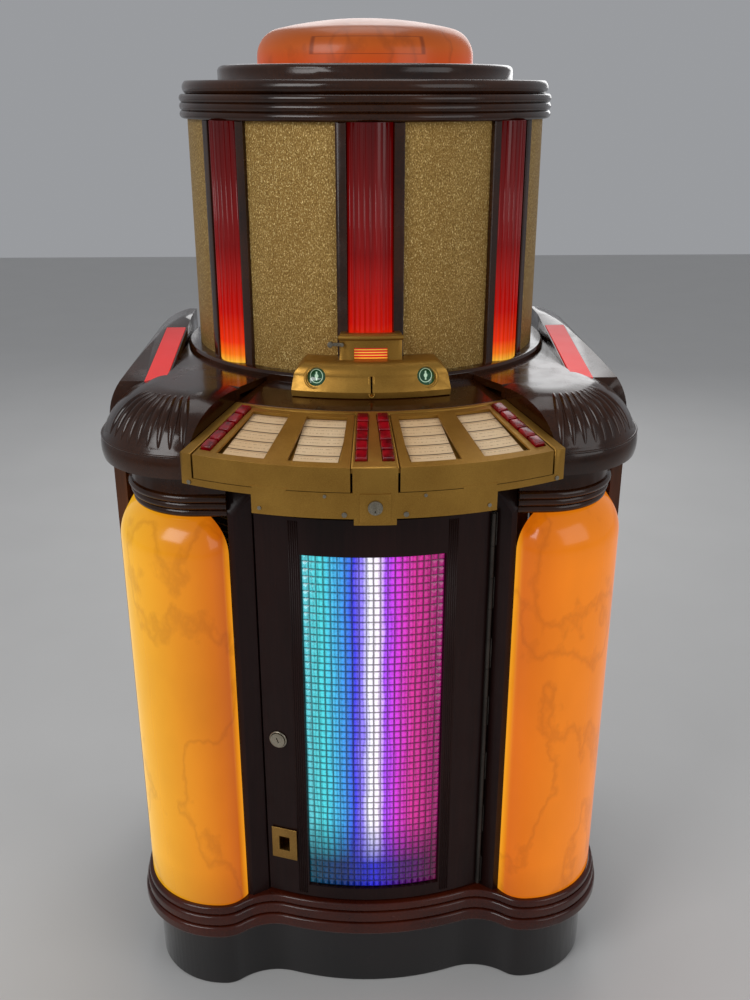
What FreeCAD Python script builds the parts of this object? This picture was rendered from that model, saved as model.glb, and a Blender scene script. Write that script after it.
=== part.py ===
"""Floor-standing console jukebox: cabinet, speaker drum, selector, door and mechanism.

Frame: millimetres, +Z up, front towards -Y, origin under the middle of the footprint.
Curved fronts (door, selector, drum) share one vertical axis, the drum axis, behind the origin.
"""
import FreeCAD, Part
import math
import os

import Sketcher

Vector = FreeCAD.Vector
Rotation = FreeCAD.Rotation
Placement = FreeCAD.Placement
UP = Vector(0, 0, 1)

SIZES = {
    # heights of the main levels
    "plinth_top": 134, "moulding_top": 197, "door_bottom": 203, "door_top": 958, "amber_shoulder": 889,
    "amber_top": 955, "header_top": 1060, "neck_top": 1026, "band_top": 1064, "shoulder_crest": 1140,
    "cheek_crest": 1176,
    "deck_under": 1106, "deck_flat": 1118, "deck_rise": 1134, "ring_top": 1150, "drum_top": 1540,
    "crown_top": 1600, "step_top": 1624, "dome_top": 1700,
    # plan: one axis for drum, selector and door, and the two front corner lobes
    "axis_back": 220, "rear_plane": 350, "lobe_side": 280, "lobe_front": -120, "lobe_radius": 145,
    "knuckle_radius": 54, "dip_radius": 100, "lobe_inner": 232, "shoulder_side": 285,
    "shoulder_front": -95, "shoulder_radius": 160, "side_half_width": 440, "side_front": -75,
    # walls and running gaps
    "board": 19, "thin_wall": 5, "gap": 0.4, "fit_gap": 0.05, "seam": 1.2,
    # drum and crown
    "drum_radius": 315, "cloth_panel": 10, "channel_radius": 322, "pilaster_radius": 331,
    "pilaster_half": 6.6, "channel_half": 9.6, "side_pilaster": 47.8, "drum_back": 335,
    "foot_radius": 337.7, "crown_radius": 328, "crown_rib": 13, "step_radius": 259, "dome_radius": 189, "dome_corner": 46,
    "dome_cap": 62,
    # front door
    "door_radius": 485, "door_board": 22, "door_half": 23.2, "post_gap": 1.0, "window_half": 14.08,
    "window_bottom": 228, "window_top": 894, "rabbet": 10, "glass": 4.8, "hinge_pin": 1.6,
    "knuckle": 3.5, "hinge_lead": 5.2, "lock_height": 536, "lock_angle": -19.9, "lock_barrel": 9,
    "lock_head": 13, "cup_angle": -19.3, "cup_bottom": 281, "cup_top": 348, "cup_width": 48,
    # selector
    "selector_inner": 423, "selector_outer": 570, "selector_half": 31, "selector_slope": 15.8,
    "selector_front": 1076, "selector_bottom": 1026, "skirt_bottom": 996, "tab_bottom": 986,
    "skirt_half": 18.9, "tab_half": 3.2, "cover_start": 3.6, "cover_end": 28.8, "cover_plate": 4,
    "bed_drop": 9, "button_pitch": 25.4, "button_width": 17.5, "button_length": 22,
    "button_rise": 5, "button_travel": 4, "button_rows": 5, "first_row": 444,
    "window_one_start": 5.2, "window_one_end": 13.4, "window_two_start": 17.1, "window_two_end": 25.2,
    "strip_width": 68, "key_height": 1015, "key_barrel": 11,
    # coin housing
    "coin_half_width": 129, "coin_foot": 386, "coin_crest": 1180, "collar_top": 1222,
    "coin_slot_width": 3, "coin_slot_height": 29, "dial_side": 88, "dial_height": 1157,
    # inside
    "shelf_height": 640, "record_radius": 127, "tray_count": 20, "tube_radius": 12.5,
    "speaker_radius": 150,
}


class Dim:
    """A size with its value and the sheet expression that gives it."""

    def __init__(self, value, text):
        self.value = float(value)
        self.text = text

    def __float__(self):
        return self.value

    def __neg__(self):
        return Dim(-self.value, f"(-1 * {self.text})")

    def __add__(self, other):
        other = dim(other)
        return Dim(self.value + other.value, f"({self.text} + {other.text})")

    def __sub__(self, other):
        other = dim(other)
        return Dim(self.value - other.value, f"({self.text} - {other.text})")

    def __mul__(self, other):
        other = dim(other)
        return Dim(self.value * other.value, f"({self.text} * {other.text})")

    def __truediv__(self, other):
        other = dim(other)
        return Dim(self.value / other.value, f"({self.text} / {other.text})")

    __radd__ = __add__
    __rmul__ = __mul__

    def __rsub__(self, other):
        return dim(other) - self


def dim(number):
    """Any number as a Dim."""
    if isinstance(number, Dim):
        return number
    return Dim(number, f"({number})")


def sine(angle):
    """Sine of an angle in degrees, as a Dim."""
    angle = dim(angle)
    return Dim(math.sin(math.radians(angle.value)), f"sin({angle.text})")


def cosine(angle):
    """Cosine of an angle in degrees, as a Dim."""
    angle = dim(angle)
    return Dim(math.cos(math.radians(angle.value)), f"cos({angle.text})")


def tangent(angle):
    """Tangent of an angle in degrees, as a Dim."""
    return sine(angle) / cosine(angle)


class Sheet:
    """The spreadsheet of driving sizes, read as attributes."""

    def __init__(self, doc, sizes):
        self._sheet = doc.addObject("Spreadsheet::Sheet", "dims")
        self._sizes = {}
        for row, (alias, value) in enumerate(sizes.items(), start=1):
            self._sheet.set(f"A{row}", alias)
            self._sheet.set(f"B{row}", str(value))
            self._sheet.setAlias(f"B{row}", alias)
            self._sizes[alias] = Dim(value, f"dims.{alias}")
        doc.recompute()

    def __getattr__(self, alias):
        return self._sizes[alias]


DOC = FreeCAD.newDocument("jukebox")
D = Sheet(DOC, SIZES)
NODES = {}


def bind(thing, prop, size):
    """Tie a property to the sheet, or set it when it is a plain number."""
    if isinstance(size, Dim):
        thing.setExpression(prop, size.text)
    else:
        setattr(thing, prop, size)


def place(thing, x=0, y=0, z=0, turn=0, about=UP):
    """Put an object at a place given in sheet sizes, turned about an axis in degrees."""
    spot = Vector(float(dim(x)), float(dim(y)), float(dim(z)))
    thing.Placement = Placement(spot, Rotation(about, float(dim(turn))))
    for axis, size in (("x", x), ("y", y), ("z", z)):
        if isinstance(size, Dim):
            thing.setExpression(f"Placement.Base.{axis}", size.text)
    return thing


def node(name, thing):
    """Register an object as the finished sub-part of that name."""
    thing.Label = name
    NODES[name] = thing
    return thing


# ---------------------------------------------------------------- building blocks

def outline(body, role, corners):
    """Closed sketch through corners (x, y) or (x, y, radius, turn); turn 1 is counter-clockwise."""
    sketch = body.newObject("Sketcher::SketchObject", "Outline")
    plane = next(f for f in body.Origin.OriginFeatures if f.Role == role)
    sketch.AttachmentSupport = [(plane, "")]
    sketch.MapMode = "FlatFace"
    points = [Vector(float(dim(c[0])), float(dim(c[1])), 0) for c in corners]
    count = len(corners)
    starts = []
    for index, corner in enumerate(corners):
        here, there = points[index], points[(index + 1) % count]
        if len(corner) == 2:
            sketch.addGeometry(Part.LineSegment(here, there), False)
            starts.append((1, 2))
        else:
            sketch.addGeometry(arc_between(here, there, float(dim(corner[2])), corner[3]), False)
            starts.append((1, 2) if corner[3] > 0 else (2, 1))
    for index in range(count):
        after = (index + 1) % count
        sketch.addConstraint(Sketcher.Constraint(
            "Coincident", index, starts[index][1], after, starts[after][0]))
    for index, corner in enumerate(corners):
        fix(sketch, "DistanceX", index, starts[index][0], corner[0])
        fix(sketch, "DistanceY", index, starts[index][0], corner[1])
        if len(corner) > 2:
            number = sketch.addConstraint(Sketcher.Constraint("Radius", index, float(dim(corner[2]))))
            if isinstance(corner[2], Dim):
                sketch.setExpression(f"Constraints[{number}]", corner[2].text)
    return sketch


def fix(sketch, kind, line, point, size):
    """Fix one coordinate of a sketch point, bound to the sheet."""
    number = sketch.addConstraint(Sketcher.Constraint(kind, -1, 1, line, point, float(dim(size))))
    if isinstance(size, Dim):
        sketch.setExpression(f"Constraints[{number}]", size.text)


def arc_between(here, there, radius, turn):
    """Arc of a circle from one point to another, turning left (1) or right (-1)."""
    middle = (here + there) * 0.5
    chord = there - here
    half = chord.Length / 2
    side = Vector(-chord.y, chord.x, 0).normalize() * turn
    centre = middle + side * math.sqrt(max(radius ** 2 - half ** 2, 0))
    first, last = (here, there) if turn > 0 else (there, here)
    start = math.atan2(first.y - centre.y, first.x - centre.x)
    end = math.atan2(last.y - centre.y, last.x - centre.x)
    return Part.ArcOfCircle(Part.Circle(centre, UP, radius), start, end)


def turned(name, corners, start=0, end=360, centre=None):
    """Body turned about a vertical axis from a profile (radius, height), between two angles.

    Angles are in degrees from straight ahead, positive towards +X. The axis is the drum axis
    unless a centre (x, y) is given.
    """
    body = DOC.addObject("PartDesign::Body", name)
    sketch = outline(body, "XZ_Plane", corners)
    feature = body.newObject("PartDesign::Revolution", "Turn")
    feature.Profile = sketch
    feature.ReferenceAxis = (sketch, ["V_Axis"])
    feature.Midplane = True
    span, middle = dim(end) - dim(start), (dim(end) + dim(start)) / 2
    bind(feature, "Angle", span if isinstance(end, Dim) or isinstance(start, Dim) else end - start)
    x, y = centre or (0, D.axis_back)
    return place(body, x, y, 0, middle.value - 90)


def padded(name, role, corners, length):
    """Body padded from an outline on a base plane."""
    body = DOC.addObject("PartDesign::Body", name)
    sketch = outline(body, role, corners)
    feature = body.newObject("PartDesign::Pad", "Pad")
    feature.Profile = sketch
    bind(feature, "Length", length)
    return body


def block(name, xs, ys, zs):
    """Box between two values on each axis."""
    box = DOC.addObject("Part::Box", name)
    for prop, (low, high) in zip(("Length", "Width", "Height"), (xs, ys, zs)):
        bind(box, prop, dim(high) - dim(low))
    return place(box, xs[0], ys[0], zs[0])


def rod(name, radius, height, x=0, y=0, z=0, turn=0, about=UP):
    """Cylinder standing at a place, turned about an axis."""
    cylinder = DOC.addObject("Part::Cylinder", name)
    bind(cylinder, "Radius", radius)
    bind(cylinder, "Height", height)
    return place(cylinder, x, y, z, turn, about)


def fuse(name, pieces):
    """One solid from several."""
    joined = DOC.addObject("Part::MultiFuse", name)
    joined.Shapes = pieces
    return joined


def cut(name, base, *tools):
    """Base with one or more tools taken away."""
    for number, tool in enumerate(tools):
        step = DOC.addObject("Part::Cut", f"{name}_{number}")
        step.Base, step.Tool = base, tool
        base = step
    return base


def common(name, first, second):
    """What two solids share."""
    result = DOC.addObject("Part::Common", name)
    result.Base, result.Tool = first, second
    return result


def group(name, pieces):
    """Several separate solids in one sub-part."""
    compound = DOC.addObject("Part::Compound", name)
    compound.Links = pieces
    return compound


def mirrored(name, thing):
    """Copy of an object on the other side of the middle."""
    copy = DOC.addObject("Part::Mirroring", name)
    copy.Source = thing
    copy.Normal = Vector(1, 0, 0)
    return copy


def both_sides(name, thing):
    """A right-hand piece and its mirror image in one sub-part."""
    return group(name, [thing, mirrored(f"{name}_mirror", thing)])


def around(radius, angle, height=0):
    """Point at a radius and angle about the drum axis, as sheet sizes."""
    return dim(radius) * sine(angle), D.axis_back - dim(radius) * cosine(angle), dim(height)


# ---------------------------------------------------------------- lobed plan of the cabinet

def corner_lobe(name, profile, knuckled=True):
    """Solid that follows a cabinet corner: inner end, big lobe, then straight to the side board.

    The profile is (outward offset, height, ...) as in outline. The inner end bends back on
    the knuckle, or runs straight on to the post.
    """
    side, radius, knuckle = D.lobe_side, D.lobe_radius, D.knuckle_radius
    bow = math.degrees(math.asin((side.value - D.lobe_inner.value) / knuckle.value))
    small = (side, D.lobe_front - radius + knuckle)
    nose = turned(f"{name}_knuckle", shifted(profile, knuckle), -bow, 0, small) if knuckled else across(name, profile)
    pieces = [nose, turned(f"{name}_lobe", shifted(profile, radius), 0, 90, (side, D.lobe_front)),
              straight(f"{name}_flank", shifted(profile, side + radius), D.lobe_front, D.side_front - D.gap)]
    return fuse(f"{name}_right", pieces)


def across(name, profile):
    """Prism along X from the post to the lobe."""
    front = D.lobe_front - D.lobe_radius
    corners = []
    for corner in profile:
        arc = (corner[2], -corner[3]) if len(corner) > 2 else ()
        corners.append((front - corner[0], corner[1], *arc))
    return place(padded(f"{name}_run", "YZ_Plane", corners, D.lobe_side - D.lobe_inner), D.lobe_inner, 0, 0)


def shifted(profile, distance):
    """Profile moved outwards by a distance."""
    return [(distance + corner[0], *corner[1:]) for corner in profile]


def straight(name, corners, front, back):
    """Prism along Y from a profile (x, height)."""
    return place(padded(name, "XZ_Plane", corners, dim(back) - front), 0, back, 0)


def base_path(grow, rear_wall=0.0):
    """Closed plan of the base: bowed centre, a dip each side, two lobes and a flat back."""
    axis = Vector(0, float(D.axis_back), 0)
    bow = float(D.door_radius) + grow
    knuckle = float(D.knuckle_radius) + grow
    big = float(D.lobe_radius) + grow
    dip = float(D.dip_radius) - grow
    side, front = float(D.lobe_side), float(D.lobe_front)
    small = Vector(side, front - float(D.lobe_radius) + float(D.knuckle_radius), 0)
    apart = small - axis
    near, far = bow + dip, knuckle + dip
    along = (near ** 2 - far ** 2 + apart.Length ** 2) / (2 * apart.Length)
    across = math.sqrt(near ** 2 - along ** 2)
    unit = apart * (1 / apart.Length)
    hollow = axis + unit * along + Vector(unit.y, -unit.x, 0) * across
    if hollow.y > 0 or hollow.x > small.x:
        hollow = axis + unit * along - Vector(unit.y, -unit.x, 0) * across
    leave = axis + (hollow - axis).normalize() * bow
    join = small + (hollow - small).normalize() * knuckle
    low = hollow + ((leave - hollow).normalize() + (join - hollow).normalize()).normalize() * dip
    nose = Vector(side, small.y - knuckle, 0)
    bulge = small + ((join - small).normalize() + Vector(0, -1, 0)).normalize() * knuckle
    diagonal = Vector(side, front, 0) + Vector(big, -big, 0) * math.sqrt(0.5)
    flank = Vector(side + big, front, 0)
    rear = Vector(side + big, float(D.rear_plane) - rear_wall, 0)
    right = [(leave, low, join), (join, bulge, nose), (nose, diagonal, flank)]
    edges = [Part.Arc(mirror_x(leave), axis + Vector(0, -bow, 0), leave)]
    edges += [Part.Arc(*points) for points in right]
    edges += [Part.LineSegment(flank, rear), Part.LineSegment(rear, mirror_x(rear))]
    edges.append(Part.LineSegment(mirror_x(rear), mirror_x(flank)))
    edges += [Part.Arc(*[mirror_x(p) for p in reversed(points)]) for points in reversed(right)]
    return Part.Wire([edge.toShape() for edge in edges])


def mirror_x(point):
    """Point on the other side of the middle."""
    return Vector(-point.x, point.y, point.z)


def slab(grow, low, high, rear_wall=0.0):
    """Solid plate of the base plan, grown outwards, between two heights."""
    plate = Part.Face(base_path(grow, rear_wall)).extrude(Vector(0, 0, float(high) - float(low)))
    plate.translate(Vector(0, 0, float(low)))
    return plate


def feature(name, shape):
    """Object holding a shape made from Part functions."""
    thing = DOC.addObject("Part::Feature", name)
    thing.Shape = shape
    return thing


# ---------------------------------------------------------------- cabinet

def make_plinth():
    """Hollow black foot that follows the lobed plan, set in from the moulding."""
    inset, wall = -8, 22
    shape = slab(inset, 0, D.plinth_top).cut(slab(inset - wall, -1, D.plinth_top + 1, wall))
    node("plinth", feature("plinth_ring", shape))


def make_base_moulding():
    """Three-ribbed moulding ring between plinth and cabinet."""
    ribs = ((16, D.plinth_top, 158), (12, 158, 180), (8, 180, D.moulding_top))
    inner = -28
    rings = []
    for grow, low, high in ribs:
        ring = slab(grow, low, high)
        rounding = 6
        ring = ring.makeFillet(rounding, [e for e in ring.Edges if is_front_rim(e)])
        rings.append(ring)
    shape = rings[0].multiFuse(rings[1:]).removeSplitter()
    shape = shape.cut(slab(inner, float(D.plinth_top) - 1, float(D.moulding_top) + 1, D.board.value))
    node("base_moulding", feature("moulding_ring", shape))


def is_front_rim(edge):
    """True for a horizontal edge that isn't on the flat back."""
    box = edge.BoundBox
    return box.ZLength < 1e-3 and box.YMin < float(D.rear_plane) - 1


def make_cabinet_shell():
    """Glued carcass: two sides, floor and rear frame around the service opening."""
    inner = D.side_half_width - D.board
    side = block("side_board", (inner, D.side_half_width), (D.side_front, D.rear_plane), (D.moulding_top, D.neck_top))
    rear = (D.rear_plane - D.board, D.rear_plane)
    stile = block("rear_stile", (inner - 60, inner), rear, (D.moulding_top, D.neck_top))
    bottom = block("rear_bottom_rail", (-inner, inner), rear, (D.moulding_top, 300))
    top = block("rear_top_rail", (-inner, inner), rear, (960, D.neck_top))
    floor = feature("floor_board", slab(-28, float(D.moulding_top) - 15, D.moulding_top, D.board.value + 1))
    cleat = block("shelf_cleat", (inner - 20, inner), (-60, 320), (D.shelf_height - 40, D.shelf_height - 15))
    foot = block("floor_cleat", (380, inner), (-60, 320), (D.moulding_top, D.moulding_top + 20))
    right = [side, stile, cleat, foot]
    gable = padded("upper_back", "XZ_Plane", [(-inner + 1, 1000), (inner - 1, 1000), (inner - 1, 1060), (392, 1086),
                                              (334, D.deck_under - 1), (-334, D.deck_under - 1), (-392, 1086),
                                              (-inner + 1, 1060)], D.board)
    place(gable, 0, D.rear_plane, 0)
    inlet_hole = rod("inlet_hole", 15, 40, 250, D.rear_plane + 10, 250, 90, Vector(1, 0, 0))
    pieces = right + [mirrored(f"{piece.Name}_left", piece) for piece in right]
    pieces += [cut("holed_bottom_rail", bottom, inlet_hole), top, gable, floor]
    node("cabinet_shell", fuse("carcass", pieces))


def make_mains_inlet():
    """Round power inlet in the rear bottom rail."""
    y_hole = D.rear_plane
    flange = rod("inlet_flange", 21, 4, 250, y_hole + 4, 250, 90, Vector(1, 0, 0))
    body = rod("inlet_body", 15, 40, 250, y_hole, 250, 90, Vector(1, 0, 0))
    socket = rod("inlet_socket", 10, 22, 250, y_hole + 6, 250, 90, Vector(1, 0, 0))
    pins = [rod(f"inlet_pin_{n}", 2, 16, 250 + side, y_hole, 250, 90, Vector(1, 0, 0))
            for n, side in enumerate((-4, 4))]
    shell = cut("inlet_shell", fuse("inlet_solid", [flange, body]), socket)
    node("mains_inlet", fuse("inlet", [shell] + pins))


def make_rear_door():
    """Vented service door at the back, hinged on its own left edge, with a pull."""
    inner = D.side_half_width - D.board - 60
    clear = 3
    panel = block("rear_panel", (-inner + clear, inner - clear), (D.rear_plane - D.board + 1, D.rear_plane),
                  (303, 957))
    slots = [block(f"vent_{n}", (-180, 180), (D.rear_plane - 30, D.rear_plane + 10), (420 + 34 * n, 432 + 34 * n))
             for n in range(10)]
    pull = block("rear_pull", (inner - 60, inner - 40), (D.rear_plane, D.rear_plane + 5), (590, 690))
    node("rear_door", fuse("rear_door_solid", [cut("rear_vented", panel, *slots), pull]))


def make_front_frame():
    """Two wedge posts that stand proud of the door, and the bowed header that joins them."""
    posts = []
    for side, edge in ((1, D.door_half + D.post_gap), (-1, D.door_half + 0.4)):
        foot = around(D.door_radius, edge)
        back = around(D.door_radius - D.door_board, edge)
        corners = [(foot[0], foot[1]), (222, -240), (D.lobe_inner - D.gap, -236),
                   (D.lobe_inner - D.gap, back[1]), (back[0], back[1])]
        post = padded(f"post_{'right' if side > 0 else 'left'}", "XY_Plane", corners,
                      D.selector_bottom - D.moulding_top)
        place(post, 0, 0, D.moulding_top)
        bevel = block(f"bevel_{len(posts)}", (0, 100), (0, 200), (0, 60))
        place(bevel, 180, -261, D.amber_top - 34.6, 60, Vector(1, 0, 0))
        capped = cut(f"capped_{len(posts)}", post, bevel)
        posts.append(capped if side > 0 else mirrored("post_left_placed", capped))
    reach = D.door_half + 1.6
    inner = D.door_radius - D.door_board
    header = turned("header", [(inner, D.door_top + 4), (D.door_radius, D.door_top + 4),
                               (D.door_radius, D.header_top), (inner, D.header_top)], -reach, reach)
    node("front_frame", fuse("face_frame", posts + [header]))


def make_neck_mouldings():
    """Three-ribbed waist above each amber panel."""
    rib, step = 13, 3.5
    base = D.amber_top
    profile = [(-48, base)]
    for index in range(3):
        low = base + rib * index
        profile.append((-32 + step * index, low, rib * 0.54, 1))
        profile.append((-32 + step * index, low + rib))
    profile += [(-27, base + rib * 3 + 1), (-27, D.neck_top), (-48, D.neck_top)]
    node("neck_mouldings", both_sides("neck_pair", corner_lobe("neck", profile, knuckled=False)))


def make_amber_panels():
    """Translucent corner panels, rounded over at the top."""
    wall = D.thin_wall
    over = 37
    rise = D.amber_top - D.amber_shoulder
    bend = (rise * rise + over * over) / (over * 2)
    outer = [(0, D.moulding_top), (0, D.amber_shoulder, bend, 1), (-over, D.amber_top)]
    inner = [(-over, D.amber_top - wall, bend - wall, -1), (-wall, D.amber_shoulder - wall), (-wall, D.moulding_top)]
    node("amber_panels", both_sides("amber_pair", corner_lobe("amber", outer + inner)))


# ---------------------------------------------------------------- shoulders and deck

def selector_wedge(name, grow=0.0):
    """Space taken by the selector housing, a sector grown by an angle."""
    half = D.selector_half + grow
    inner, outer = D.selector_inner + 0, D.selector_outer + 40
    return turned(name, [(inner, 900), (outer, 900), (outer, 1300), (inner, 1300)], -half, half)


def make_shoulders():
    """Rounded shoulders with their band, running back into raised cheeks beside the drum."""
    band, crest, radius = D.band_top, D.shoulder_crest, D.shoulder_radius
    centre = (D.shoulder_side, D.shoulder_front)
    rear = D.rear_plane - D.board
    rise, depth = crest - band - 4, 100
    bend = (rise * rise + depth * depth) / (rise * 2)
    profile = [(-22, D.neck_top), (0, D.neck_top, 60, 1), (0, band), (-4, band + 4, bend, 1),
               (-4 - depth, crest), (-118, crest), (-118, crest - 12), (-50, 1092), (-22, band)]
    roll = turned("shoulder_roll", shifted(profile, radius), -62, 90, centre)
    flank = straight("shoulder_flank", shifted(profile, D.shoulder_side + radius), D.shoulder_front, rear)
    side, front, top = D.shoulder_side, D.shoulder_front, crest
    inner = side + radius - 116
    flat = [(150, -167), (side - 50, front - 27), (side, front - 50), (side + 36, front - 36),
            (inner, front), (inner, rear), (150, rear)]
    cap = place(padded("shoulder_cap", "XY_Plane", flat, 12), 0, 0, top - 12)
    body = fuse("shoulder_whole", [roll, flank, cap, make_cheek(side + radius, rear)])
    drum_space = rod("drum_space", D.foot_radius + D.gap, 400, 0, D.axis_back, 1000)
    behind = block("drum_space_back", (-337, 337.8), (D.axis_back, 400), (1000, 1400))
    ledge_half = D.selector_half
    ledge = turned("shoulder_ledge_space", [(200, 1000), (D.selector_inner + 5, 1000), (D.selector_inner + 5, 1200),
                                            (200, 1200)], -ledge_half, ledge_half)
    seat = window_block("window_seat", D.gap / 2, 8)
    right = cut("shoulder_right", body, selector_wedge("selector_space", 0.15), drum_space, behind, ledge, seat)
    node("shoulders", both_sides("shoulder_pair", right))


def make_cheek(outer, rear):
    """Raised rear part of a shoulder: a rounded ridge that slopes down to the front."""
    crest = D.cheek_crest
    corners = [(outer - 5, 1066, 112, 1), (outer - 92, crest), (338, crest), (338, 1128), (400, 1092), (outer - 22, 1066)]
    ridge = straight("cheek_ridge", corners, -70, rear)
    slope = block("cheek_slope", (300, 480), (-400, 100), (0, 200))
    place(slope, 300, -130, 1126, 7.5, Vector(1, 0, 0))
    slope.Width = 700
    return cut("cheek", ridge, slope)


def window_block(name, grow, depth):
    """Block of the red side window, grown on every side, lying on the cheek's slope."""
    plate = DOC.addObject("Part::Box", name)
    plate.Length = 35 + 2 * float(dim(grow))
    plate.Width = 262 + 2 * float(dim(grow))
    plate.Height = depth
    edge = float(dim(grow))
    lean = Rotation(Vector(1, 0, 0), 7.5)
    plate.Placement = Placement(Vector(341, -74, 1129.5) + lean.multVec(Vector(-edge, -edge, 0)), lean)
    return plate


def make_side_windows():
    """Red lit windows set in the cheeks."""
    node("side_windows", both_sides("side_window_pair", window_block("side_window", 0, 5.5)))


def make_deck():
    """Board under the drum, with a ledge that slopes down to the selector."""
    inner = D.foot_radius - 40
    ledge = turned("deck_ledge", [(inner, D.deck_under), (D.selector_inner - D.gap, D.deck_under),
                                  (D.selector_inner - D.gap, D.deck_flat), (D.foot_radius, D.deck_rise),
                                  (D.foot_radius, D.deck_flat), (inner, D.deck_flat)],
                   -(D.selector_half - 0.2), D.selector_half - 0.2)
    rear = D.rear_plane - D.board
    half = 332
    board = padded("deck_board", "XY_Plane", [(-half, rear), (-half, -60), (-225, -125), (225, -125), (half, -60),
                                              (half, rear)], D.deck_flat - D.deck_under)
    place(board, 0, 0, D.deck_under)
    trimmed = cut("deck_trimmed", fuse("deck_whole", [ledge, board]), selector_wedge("deck_selector_space"))
    hole = rod("deck_hole", 120, 60, 0, 130, D.deck_under - 20)
    node("deck", cut("deck_plate", trimmed, hole))


# ---------------------------------------------------------------- drum, crown and dome

def pilaster_angles():
    """Centre angles of the three pilasters."""
    return (-D.side_pilaster, dim(0), D.side_pilaster)


def make_drum_frame():
    """Foot ring, pilaster channels, back board and loudspeaker baffle, glued up as one frame."""
    reach = 109.5
    inner = D.drum_radius - D.cloth_panel - 4
    ring = turned("foot_ring", [(inner, D.deck_flat), (D.foot_radius, D.deck_flat), (D.foot_radius, D.ring_top - 4),
                                (D.foot_radius - 4, D.ring_top), (inner, D.ring_top)], -reach, reach)
    pieces = [ring]
    low, high = D.ring_top - 1, D.drum_top
    wall = D.drum_radius - D.cloth_panel
    for index, centre in enumerate(pilaster_angles()):
        for side in (-1, 1):
            edges = sorted((centre + D.pilaster_half * side, centre + D.channel_half * side), key=float)
            pieces.append(turned(f"channel_{index}_{side + 1}", [(wall, low), (D.channel_radius, low),
                                 (D.channel_radius, high), (wall, high)], edges[0], edges[1]))
    back = block("drum_back_board", (-290, 290), (D.drum_back - 10, D.drum_back), (D.deck_flat, high))
    foot = block("drum_back_foot", (-300, 300), (D.drum_back - 22, D.drum_back - 1), (D.deck_flat, D.ring_top))
    baffle = block("baffle", (-200, 200), (8, 20), (D.deck_flat, high))
    sound_hole = rod("sound_hole", D.speaker_radius - 22, 60, 0, 40, 1345, 90, Vector(1, 0, 0))
    strut = block("baffle_strut", (-150, 150), (-60, 20), (D.deck_flat, D.deck_flat + 12))
    pieces += [back, foot, cut("baffle_board", baffle, sound_hole), strut]
    node("drum_frame", fuse("drum_frame_solid", pieces))


def make_grille_panels():
    """Curved cloth-covered panels between the pilaster channels."""
    inner, outer = D.drum_radius - D.cloth_panel, D.drum_radius
    clear = 0.03
    spans = [(D.channel_half + clear, D.side_pilaster - D.channel_half - clear),
             (D.side_pilaster + D.channel_half + clear, dim(109.5))]
    panels = []
    for number, (start, end) in enumerate(spans):
        corners = [(inner, D.ring_top), (outer, D.ring_top), (outer, D.drum_top), (inner, D.drum_top)]
        panels.append(turned(f"grille_right_{number}", corners, start, end))
        panels.append(turned(f"grille_left_{number}", corners, -end, -start))
    node("grille_panels", group("grille_group", panels))


def make_pilasters():
    """Three bowed red plastic pilasters."""
    half = D.pilaster_half - 0.1
    edge, wall = D.drum_radius - 2, 3.5
    side, rise = edge * sine(half), edge * cosine(half)
    crown, inner_crown = D.pilaster_radius, D.pilaster_radius - wall
    bow = (side * side + (crown - rise) * (crown - rise)) / ((crown - rise) * 2)
    inner_side = side - wall
    inner_bow = (inner_side * inner_side + (inner_crown - rise) * (inner_crown - rise)) / ((inner_crown - rise) * 2)
    corners = [(-side, -rise, bow, 1), (side, -rise), (inner_side, -rise, inner_bow, -1), (-inner_side, -rise)]
    pilasters = []
    for index, centre in enumerate(pilaster_angles()):
        bar = padded(f"pilaster_{index}", "XY_Plane", corners, D.drum_top - D.ring_top)
        place(bar, 0, D.axis_back, D.ring_top, centre)
        pilasters.append(bar)
    node("pilasters", group("pilaster_group", pilasters))


def flat_back(name, thing, plane):
    """Trim a round body to the flat back of the drum."""
    return cut(name, thing, block(f"{name}_trim", (-400, 400), (plane, 700), (1000, 1800)))


def make_crown():
    """Ribbed crown with a smaller step on top, open in the middle for the dome light."""
    rim, rib = D.crown_radius, D.crown_rib
    base = D.drum_top
    corners = [(300, base)]
    for index in range(3):
        corners.append((rim - 4, base + rib * index, rib * 0.56, 1))
    third = base + rib * 3
    corners += [(rim - 4, third), (rim - 12, third, 12.5, 1), (rim - 12, D.crown_top), (D.step_radius, D.crown_top),
                (D.step_radius, D.step_top - 8, 8.5, 1), (D.step_radius - 8, D.step_top), (150, D.step_top),
                (150, D.crown_top - 10), (300, D.crown_top - 10)]
    ring = flat_back("crown_flat", turned("crown_ring", corners), D.drum_back + 3)
    back = block("crown_back", (-280, 280), (D.drum_back - 9, D.drum_back + 3), (base, D.crown_top - 5))
    node("crown", fuse("crown_whole", [ring, back]))


def make_dome():
    """Amber light dome, a shell closed at the flat back."""
    wall = 3
    edge, corner, spring = D.dome_radius, D.dome_corner, D.dome_top - D.dome_cap
    rise = D.dome_top - spring
    reach = edge - corner
    bow = (reach * reach + rise * rise - corner * corner) / ((rise - corner) * 2)
    lean_out, lean_up = reach / (bow - corner), (bow - rise) / (bow - corner)

    def half_section(inset):
        low = D.step_top if inset == 0 else D.step_top - 1
        joint = (bow - inset) * lean_out, D.dome_top - bow + (bow - inset) * lean_up
        return [(0, low), (edge - inset, low), (edge - inset, spring, corner - inset, 1),
                (*joint, bow - inset, 1), (0, D.dome_top - inset)]
    outer = flat_back("dome_outer", turned("dome_solid", half_section(0)), D.drum_back)
    inner = flat_back("dome_inner", turned("dome_void", half_section(wall)), D.drum_back - wall)
    node("dome", cut("dome_shell", outer, inner))


# ---------------------------------------------------------------- door

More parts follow.
